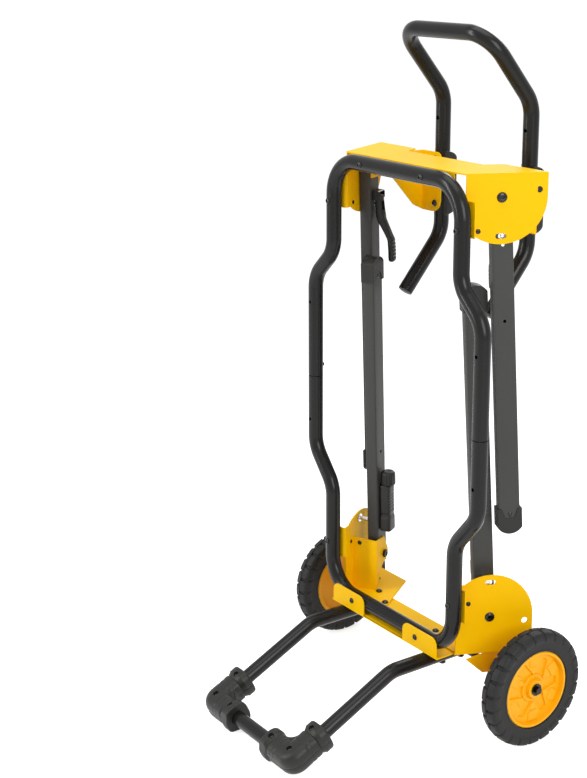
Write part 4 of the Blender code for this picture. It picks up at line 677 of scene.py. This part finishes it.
# Wheels
def hub(name, side):
    """A moulded hub. The outer face's height is a function of radius and angle: a boss, a flat
    web with six wedge pockets, six raised pads between them, and a lip at the rim."""
    bore, boss_radius, edge, count = 0.0064, 0.0165, 0.067, 288
    radius = np.concatenate([np.linspace(bore, boss_radius, 9), np.linspace(0.0172, 0.0655, 76),
                             [0.0662, 0.0668, edge]])
    angle = full_turn(count)
    r, a = radius[:, None], angle[None, :]
    sector, taper = np.pi / 3, 0.20
    near = (a + sector / 2) % sector - sector / 2
    between = a % sector - sector / 2
    wedge_half, pad_half, spoke_half = 0.0115 - taper * (r - 0.024), 0.0098, 0.0045
    web, boss_rise, wedge_drop, pad_rise, spoke_rise = 0.0052, 0.0073, 0.0040, 0.0022, 0.0012
    ring_rise, lip_rise, rim_drop = 0.0014, 0.0098, 0.0013
    wedge = band(r, 0.0235, 0.0520, 0.0012) * within(near * r, wedge_half, 0.0011)
    pad = band(r, 0.0405, 0.0585, 0.0012) * within(between * r, pad_half, 0.0010)
    spoke = band(r, 0.0245, 0.0385, 0.0010) * within(between * r, spoke_half, 0.0010)
    boss = within(r, 0.0155, 0.0020)
    ring = band(r, 0.0180, 0.0205, 0.0008)
    lip, rim = step(r, 0.0598, 0.0622), step(r, 0.0655, edge)
    height = web + boss_rise * boss - wedge_drop * wedge + pad_rise * pad + spoke_rise * spoke
    height = height + ring_rise * ring + lip_rise * lip - rim_drop * rim
    outer = np.stack([np.broadcast_to(height, (len(radius), count)), r * np.cos(a), r * np.sin(a)], -1)
    rear, recess = -0.0163, -0.0035
    inner_radius = np.array([edge, 0.0655, 0.060, 0.058, 0.018, boss_radius, bore])[:, None]
    inner_height = np.array([-0.0150, rear, rear, recess, recess, rear, rear])[:, None]
    inner = np.stack([np.broadcast_to(inner_height, (len(inner_radius), count)),
                      inner_radius * np.cos(a), inner_radius * np.sin(a)], -1)
    points = mirror(np.concatenate([outer, inner]) + WHEEL_CENTRE, side)
    made = piece("hub_" + name, points, grid_faces(len(points), count, wrap_rows=True), HUB_PLASTIC,
                 "wheel_" + name, 28.0)
    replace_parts(made, "wheel_hub_" + name)


def tyre(name, side):
    """A tyre: its section is a rounded box; the shoulders and the tread carry 24 lugs, so the
    radius falls and the side dips where the angle lies between two lugs."""
    half, seat, full, crown, lugs, count = 0.0165, 0.0673, 0.102, 0.092, 24, 480
    lug_depth, side_dip, sipe_depth, lean = 0.0030, 0.0021, 0.0012, 0.9
    corner_out, corner_in = 0.0085, 0.0073
    angle = full_turn(count)[None, :]
    bead = [(seat, half - 0.003), (seat + 0.001, half - 0.0008), (seat + 0.003, half - 0.0003),
            (seat + 0.0045, half - 0.0012)]
    wall = [(0.080, half - 0.0012), (0.0855, half - 0.0009), (0.0868, half - 0.0001), (crown, half - 0.0002)]
    corner = [(crown + corner_out * np.sin(t), half - 0.0075 + corner_in * np.cos(t))
              for t in np.linspace(0, np.pi / 2, 7)[1:]]
    tread = [(full - 0.0008, 0.0058), (full - 0.0002, 0.0040), (full - 0.0002, 0.0012),
             (full - 0.0016, 0.0004)]
    profile = np.array(bead + wall + corner + tread)
    profile = np.concatenate([profile, profile[::-1] * np.array([1, -1])])
    r, h = profile[:, :1], profile[:, 1:]
    offset = np.where(h < 0, 0.5, 0.0)
    phase = (angle / (2 * np.pi) * lugs + offset + lean * (full - r) / full) % 1.0
    dip = within(phase - 0.5, 0.06, 0.06) * step(r, 0.0862, 0.0872)
    sipe = step(r, 0.0995, 0.1005) * within((phase * 2) % 1.0 - 0.5, 0.04, 0.05) * 0.3
    radius = r - lug_depth * dip * step(r, 0.094, 0.1005) - sipe_depth * sipe
    side_way = h - np.sign(h) * side_dip * dip * (1 - step(r, 0.0985, 0.1012))
    radius, side_way = np.broadcast_arrays(radius, side_way)
    points = np.stack([side_way, radius * np.cos(angle), radius * np.sin(angle)], -1)
    points = mirror(points + WHEEL_CENTRE, side)
    made = piece("tyre_" + name + "_tread", points, grid_faces(len(profile), count, wrap_rows=True), RUBBER,
                 "wheel_" + name, 30.0)
    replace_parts(made, "tyre_" + name)


for name, side in SIDES.items():
    hub(name, side)
    tyre(name, side)
    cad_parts["axle_clip_" + name].data.materials[0] = BLACK_STEEL
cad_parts["axle"].data.materials[0] = BLACK_STEEL


# Bolts and rivets
def loop_bolt(node):
    """A bolt through the loop, its head in front and its nut behind."""
    low, high = np.array(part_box(node))
    middle, reach, height = (low + high) / 2, (high[0] - low[0]) / 2, 0.0026
    front = low[1] + height

    def place(points):
        return points[..., [0, 2, 1]] * np.array([1, -1, 1]) + np.array([middle[0], front, middle[2]])

    shapes = bolt_set(place, high[1] - front - height, (reach, height), (reach, height))
    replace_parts(gathered(node + "_bolt", shapes, BLACK_STEEL, "frame"), node)


def pivot_bolt(level, name, side):
    """A pivot bolt: head outside the corner plate, nut inside; the lower one carries a spacer."""
    height, leg = (UPPER_PIVOT, OUTER_LEG) if level == "upper" else (LOWER_PIVOT, INNER_LEG)
    plate = SHEET + 2 * GAP

    def place(points):
        across, up, out = np.moveaxis(points, -1, 0)
        return plate_place(np.stack([-out - GAP, PIVOT_BACK + across, height + up], -1), side)

    shapes = bolt_set(place, leg + LEG_THICK + 2 * GAP + plate, (0.0085, 0.0035), (0.0075, 0.005), 0.0048)
    if level == "lower":
        points, faces = rod((0, 0, -plate), (0, 0, -leg), 0.009, 48)
        shapes.append((place(points), faces))
    made = gathered("pivot_%s_%s" % (level, name), shapes, BLACK_STEEL, "frame")
    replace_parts(made, "pivot_bolt_%s_%s" % (level, name))


def plate_rivets(name, side):
    """Black button heads in the corner plates' small holes and in the bottom bracket's web."""
    hole_back, web_inboard, web_back, web_hole = 0.024, 0.017, 0.031, 0.228

    def outward(height):
        def place(points):
            across, up, out = np.moveaxis(points, -1, 0)
            return plate_place(np.stack([-out, hole_back + across, height + up], -1), side)
        return place

    def forward(points):
        across, up, out = np.moveaxis(points, -1, 0)
        return plate_place(np.stack([web_inboard + across, web_back - out, web_hole + up], -1), side)

    shapes = []
    for place in (outward(UPPER_PIVOT - 0.054), outward(LOWER_PIVOT + 0.027), forward):
        shapes += bolt_set(place, SHEET, (0.0042, 0.0018), (0.0038, 0.0008), 0.0022)
    gathered("plate_rivets_" + name, shapes, BLACK_STEEL, "frame")


# Locks
def lock_pin(level, name, side):
    """A plated lock pin, its tip domed and grooved, and the plated ring round it: a collar that
    the lower pin carries, or a washer and a stud on the upper leg, seen in the plate's slot."""
    leg = OUTER_LEG if level == "upper" else INNER_LEG
    tip, pin, flange = SHEET + GAP, 0.0038, 0.0046
    top = leg + LEG_THICK + 0.012 - tip
    profile = [(0, 0), (0.0014, 0), (0.0016, 0.0005), (0.0022, 0.0005), (0.0024, 0.0001), (0.0032, 0.0003),
               (pin, 0.0010), (pin, top - 0.0020), (flange, top - 0.0020), (flange, top - 0.0004),
               (flange - 0.0004, top), (0, top)]

    def place(points):
        across, wide, inboard = np.moveaxis(points, -1, 0)
        return leg_place(np.stack([inboard + tip, wide, LOCK_ALONG + across], -1), level, side)

    made = piece("lock_pin_%s_%s_turned" % (level, name), place(lathe(profile, 40)),
                 grid_faces(len(profile), 40, caps=False), ZINC, "lock_pin_%s_%s" % (level, name))
    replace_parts(made, "lock_pin_%s_%s" % (level, name))
    if level == "lower":
        rim = [(0.0037, 0.0014), (0.0037, 0.0004), (0.0074, 0.0004), (0.0077, 0.0007), (0.0077, 0.0014)]
        collar = place(lathe(rim)), grid_faces(len(rim), 48, wrap_rows=True)
        gathered("lock_collar_" + name, [collar], ZINC, "lock_pin_lower_" + name)
    else:
        rim = [(0.0041, 0.0005), (0.0041, 0.0002), (0.0074, 0.0002), (0.0076, 0.0003), (0.0076, 0.0005)]
        washer = place(lathe(rim)), grid_faces(len(rim), 48, wrap_rows=True)
        bump = [(0, 0.0001), (0.0026, 0.00015), (0.0032, 0.0004), (0.0032, 0.0006), (0, 0.0006)]
        stud = place(lathe(bump, 32) + np.array([0.0145, 0, 0])), grid_faces(len(bump), 32, caps=False)
        gathered("lock_washer_" + name, [washer, stud], ZINC, "leg_upper_" + name)


def release_lever(name, side):
    """A moulded lever: a rounded-square section carried along an S-shaped line from its hinge to
    its grip, thick at the hinge, thin at the neck, with ribs across the grip's outer side."""
    face, rows, sides = OUTER_LEG + LEG_THICK, 130, 56
    line = np.array([(0.0093, 0.0412), (0.0098, 0.0560), (0.0108, 0.0740), (0.0130, 0.0880), (0.0235, 0.1080),
                     (0.0318, 0.1250), (0.0330, 0.1450), (0.0330, 0.1662)])
    span = lengths(line)
    run_length = np.linspace(0, span[-1], rows)
    kernel = np.hanning(15) / np.hanning(15).sum()

    def smoothed(values):
        return np.convolve(np.pad(values, 7, "edge"), kernel, "valid")

    out, down = (smoothed(np.interp(run_length, span, line[:, k])) for k in (0, 1))
    path = np.stack([face + out, np.zeros(rows), down], -1)
    knots = np.array([0, 0.16, 0.30, 0.46, 0.62, 0.72, 0.92, 1.0]) * span[-1]
    thickness = [0.0064, 0.0072, 0.0084, 0.0064, 0.0048, 0.0054, 0.0054, 0.0048]
    width = [0.0078, 0.0080, 0.0080, 0.0082, 0.0088, 0.0094, 0.0094, 0.0088]
    thick, wide = smoothed(np.interp(run_length, knots, thickness)), np.interp(run_length, knots, width)
    hinge_round, grip_round, fullness = 0.006, 0.007, 0.92
    ends = np.minimum(run_length / hinge_round, (span[-1] - run_length) / grip_round).clip(0, 1)
    ends = np.sqrt(1 - (1 - ends) ** 2 * fullness)
    run = np.gradient(path, axis=0)
    run /= np.linalg.norm(run, axis=1, keepdims=True)
    across = np.array([[0.0, 1.0, 0.0]])
    over = np.cross(run, across)
    over *= np.sign(over[:, :1] + 1e-9)
    grip_from, grip_to, rib_depth, rib_pitch = 0.126, 0.158, 0.0006, 0.0064
    ribbed = (path[:, 2] > grip_from) & (path[:, 2] < grip_to)
    ribs = rib_depth * (np.where(ribbed, np.cos((path[:, 2] - grip_from) / rib_pitch * 2 * np.pi), 1.0) - 1)
    angle = full_turn(sides)
    square = rounded_square(angle, 3.2)
    outward = np.clip(np.sin(angle), 0, 1) ** 0.5
    lift = (thick * ends)[:, None] * (square * np.sin(angle)) + ribs[:, None] * outward
    points = path[:, None] + over[:, None] * lift[..., None]
    points = points + across[:, None] * ((wide * ends)[:, None] * (square * np.cos(angle)))[..., None]
    made = piece("lever_" + name, leg_place(points, "upper", side), grid_faces(rows, sides), BLACK_PLASTIC,
                 "release_lever_" + name, 50.0)
    slot_size = np.array([0.0055, 0.0085])
    ring = np.array([(-1, -1), (1, -1), (1, 1), (-1, 1)]) * slot_size + (0, LOCK_ALONG)
    slot = np.stack([np.column_stack([np.full(4, reach), ring]) for reach in (face - 0.002, face + 0.03)])
    hinge_out, hinge_along, hinge_reach, hinge_radius = 0.009, 0.046, 0.02, 0.0024
    hinge, hinge_faces = rod((face + hinge_out, -hinge_reach, hinge_along),
                             (face + hinge_out, hinge_reach, hinge_along), hinge_radius, 24)
    carve(made, [(leg_place(slot, "upper", side), grid_faces(2, 4)),
                 (leg_place(hinge, "upper", side), hinge_faces)])
    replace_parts(made, "release_lever_" + name)


def lock_housing(name, side):
    """A moulded housing: a rounded-square section carried up the leg's inner face, wider round
    the pin, waisted above it, with grip ridges over its inboard side."""
    face, middle, waist, rows, sides = INNER_LEG + LEG_THICK + GAP, 0.0111, 0.084, 150, 64
    ridge_from, ridge_to, ridge_pitch, ridge_depth = 0.092, 0.128, 0.0060, 0.0008
    bottom, top, end_round = 0.0500, 0.1425, 0.003
    up = np.linspace(bottom, top, rows)
    end = np.minimum(up - up[0], up[-1] - up)
    round_end = np.sqrt(1 - (1 - np.clip(end / end_round, 0, 1)) ** 2 * 0.5)
    block = 1 - step(up, 0.0755, 0.0800)
    narrowing = np.exp(-((up - waist) / 0.003) ** 2)
    wide = (0.0120 + 0.0015 * block - 0.0010 * narrowing) * round_end
    thick = (0.0108 + 0.0003 * block - 0.0006 * narrowing) * round_end
    ridged = (up > ridge_from) & (up < ridge_to)
    ridge = np.where(ridged, 0.5 - 0.5 * np.cos((up - ridge_from) / ridge_pitch * 2 * np.pi), 0)
    angle = full_turn(sides)
    square = rounded_square(angle, 5)
    inward = np.clip(np.cos(angle), 0, 1)
    out = thick[:, None] * (square * np.cos(angle)) - ridge_depth * ridge[:, None] * inward
    across = wide[:, None] * (square * np.sin(angle))
    points = np.stack([face + middle + out, across, np.broadcast_to(up[:, None], out.shape)], -1)
    made = piece("housing_" + name, leg_place(points, "lower", side), grid_faces(rows, sides), BLACK_PLASTIC,
                 "leg_lower_" + name, 45.0)
    well_depth, well_radius = 0.0184, 0.0049
    bore_out, bore_from, bore_to, bore_radius = 0.0141, 0.12, 0.15, 0.0053
    pin_well = rod((face - 0.002, 0, LOCK_ALONG), (face + well_depth, 0, LOCK_ALONG), well_radius)
    knob_bore = rod((face + bore_out, 0, bore_from), (face + bore_out, 0, bore_to), bore_radius)
    carve(made, [(leg_place(points, "lower", side), faces) for points, faces in (pin_well, knob_bore)], 45.0)
    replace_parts(made, "lock_housing_" + name)


def lock_knob(name, side):
    """A knob: a lathe profile whose skirt's radius swells and falls twelve times round."""
    def knurl(angle, row):
        flute, depth = np.abs(np.cos(angle * 6)) ** 0.6, 0.08
        return np.where((row >= 3) & (row <= 7), 1 - depth + depth * flute, 1.0)

    profile = [(0, 0.1205), (0.0050, 0.1205), (0.0050, 0.1428), (0.0122, 0.1428), (0.0135, 0.1440),
               (0.0135, 0.1600), (0.0132, 0.1640), (0.0122, 0.1665), (0.0104, 0.1680), (0.0070, 0.1686),
               (0.0040, 0.1679), (0, 0.1677)]
    centre, sides = INNER_LEG + LEG_THICK + 0.0144, 144
    points = lathe(profile, sides, knurl) + np.array([centre, 0, 0])
    made = piece("knob_" + name, leg_place(points, "lower", side), grid_faces(len(profile), sides, caps=False),
                 BLACK_PLASTIC, "lock_knob_" + name, 40.0)
    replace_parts(made, "lock_knob_" + name)


# Legs, with their caps and locks
for name, side in SIDES.items():
    for level, leg in (("upper", OUTER_LEG), ("lower", INNER_LEG)):
        body = "leg_%s_%s" % (level, name)
        foot_screws = [leg_place((inboard, 0, FOOT_SCREW_ALONG), level, side)
                       for inboard in (leg - 0.0006, leg + LEG_THICK + 0.0006)]
        painted(eased_solid(body, GREY_COAT, body, 0.0003, 2), foot_screws, 0.0046, BLACK_STEEL)
        eased_solid("foot_cap_%s_%s" % (level, name), BLACK_PLASTIC, body, 0.0014, 4)
        lock_pin(level, name, side)
        pivot_bolt(level, name, side)
    eased_solid("lever_bracket_" + name, BLACK_COAT, "leg_upper_" + name, 0.0003, 2)
    release_lever(name, side)
    plate_rivets(name, side)
    lock_housing(name, side)
    lock_knob(name, side)
    for node in ("upright_screw_top_", "upright_screw_bottom_", "top_bar_screw_", "strip_screw_"):
        loop_bolt(node + name)


# Floor, light and camera
def floor_finish():
    """A pale floor: seen by the camera, in metal or through glass it adds plain white to its own
    lit colour, so that it meets the white backdrop and keeps the stand's soft shadow."""
    paint = Finish("studio_floor", Roughness=0.9, Specular_IOR_Level=0.0, Emission_Strength=0.78)
    return paint.give(Base_Color=paint.mix(paint.noise(3.0), (0.80, 0.80, 0.80), (0.82, 0.82, 0.82)),
                      Emission_Color=paint.mix(paint.seen(), (0.0, 0.0, 0.0), (1.0, 1.0, 1.0)))


def studio_sky():
    """A soft plain light all round, which the camera, metal and glass see as plain white."""
    world = bpy.context.scene.world or bpy.data.worlds.new("studio")
    bpy.context.scene.world = world
    world.use_nodes = True
    world.node_tree.nodes.clear()
    sky = Tree(world.node_tree)
    soft, white = (sky.node("ShaderNodeBackground", Color=(1.0, 1.0, 1.0), Strength=level)
                   for level in (0.30, 1.0))
    blend = sky.node("ShaderNodeMixShader", inputs={0: sky.seen(), 1: soft, 2: white})
    sky.node("ShaderNodeOutputWorld", Surface=blend)


def soft_box(name, place, target_height, size, power):
    """A soft area lamp aimed at a height above the origin."""
    lamp = bpy.data.lights.new(name, "AREA")
    lamp.shape, lamp.size, lamp.size_y, lamp.energy = "RECTANGLE", size[0], size[1], power
    made = bpy.data.objects.new(name, lamp)
    bpy.context.scene.collection.objects.link(made)
    made.location = place
    made.rotation_euler = (Vector((0, 0, target_height)) - Vector(place)).to_track_quat("-Z", "Y").to_euler()


bpy.ops.mesh.primitive_plane_add(size=60, location=(0, 0, -0.0005))
floor = bpy.context.object
floor.name = "studio_floor"
floor.data.materials.append(floor_finish())
studio_sky()
soft_box("side_key", (2.9, -0.5, 1.9), 0.6, (1.4, 2.0), 62)
soft_box("front_strip", (-1.0, -2.3, 1.7), 0.6, (0.3, 2.4), 46)
soft_box("rim", (-1.2, 2.2, 2.2), 0.7, (1.2, 1.4), 22)
soft_box("top", (0.2, 0.0, 3.2), 0.5, (2.0, 2.0), 34)

# The camera, its numbers fitted by least squares to points of the photo
camera = bpy.data.cameras.new("photo_view")
camera.sensor_width, camera.lens = 36.0, 69.904
camera.shift_x, camera.shift_y = -0.03019, -0.10252
shot = bpy.data.objects.new("photo_view", camera)
bpy.context.scene.collection.objects.link(shot)
shot.location = (1.9402, -1.5494 + LOOP_Y, 1.3344)
turn, pitch = np.radians(54.380), np.radians(13.998)
shot.rotation_euler = (np.pi / 2 - pitch, 0, turn)
bpy.context.scene.camera = shot
bpy.context.scene.view_settings.view_transform = "Standard"
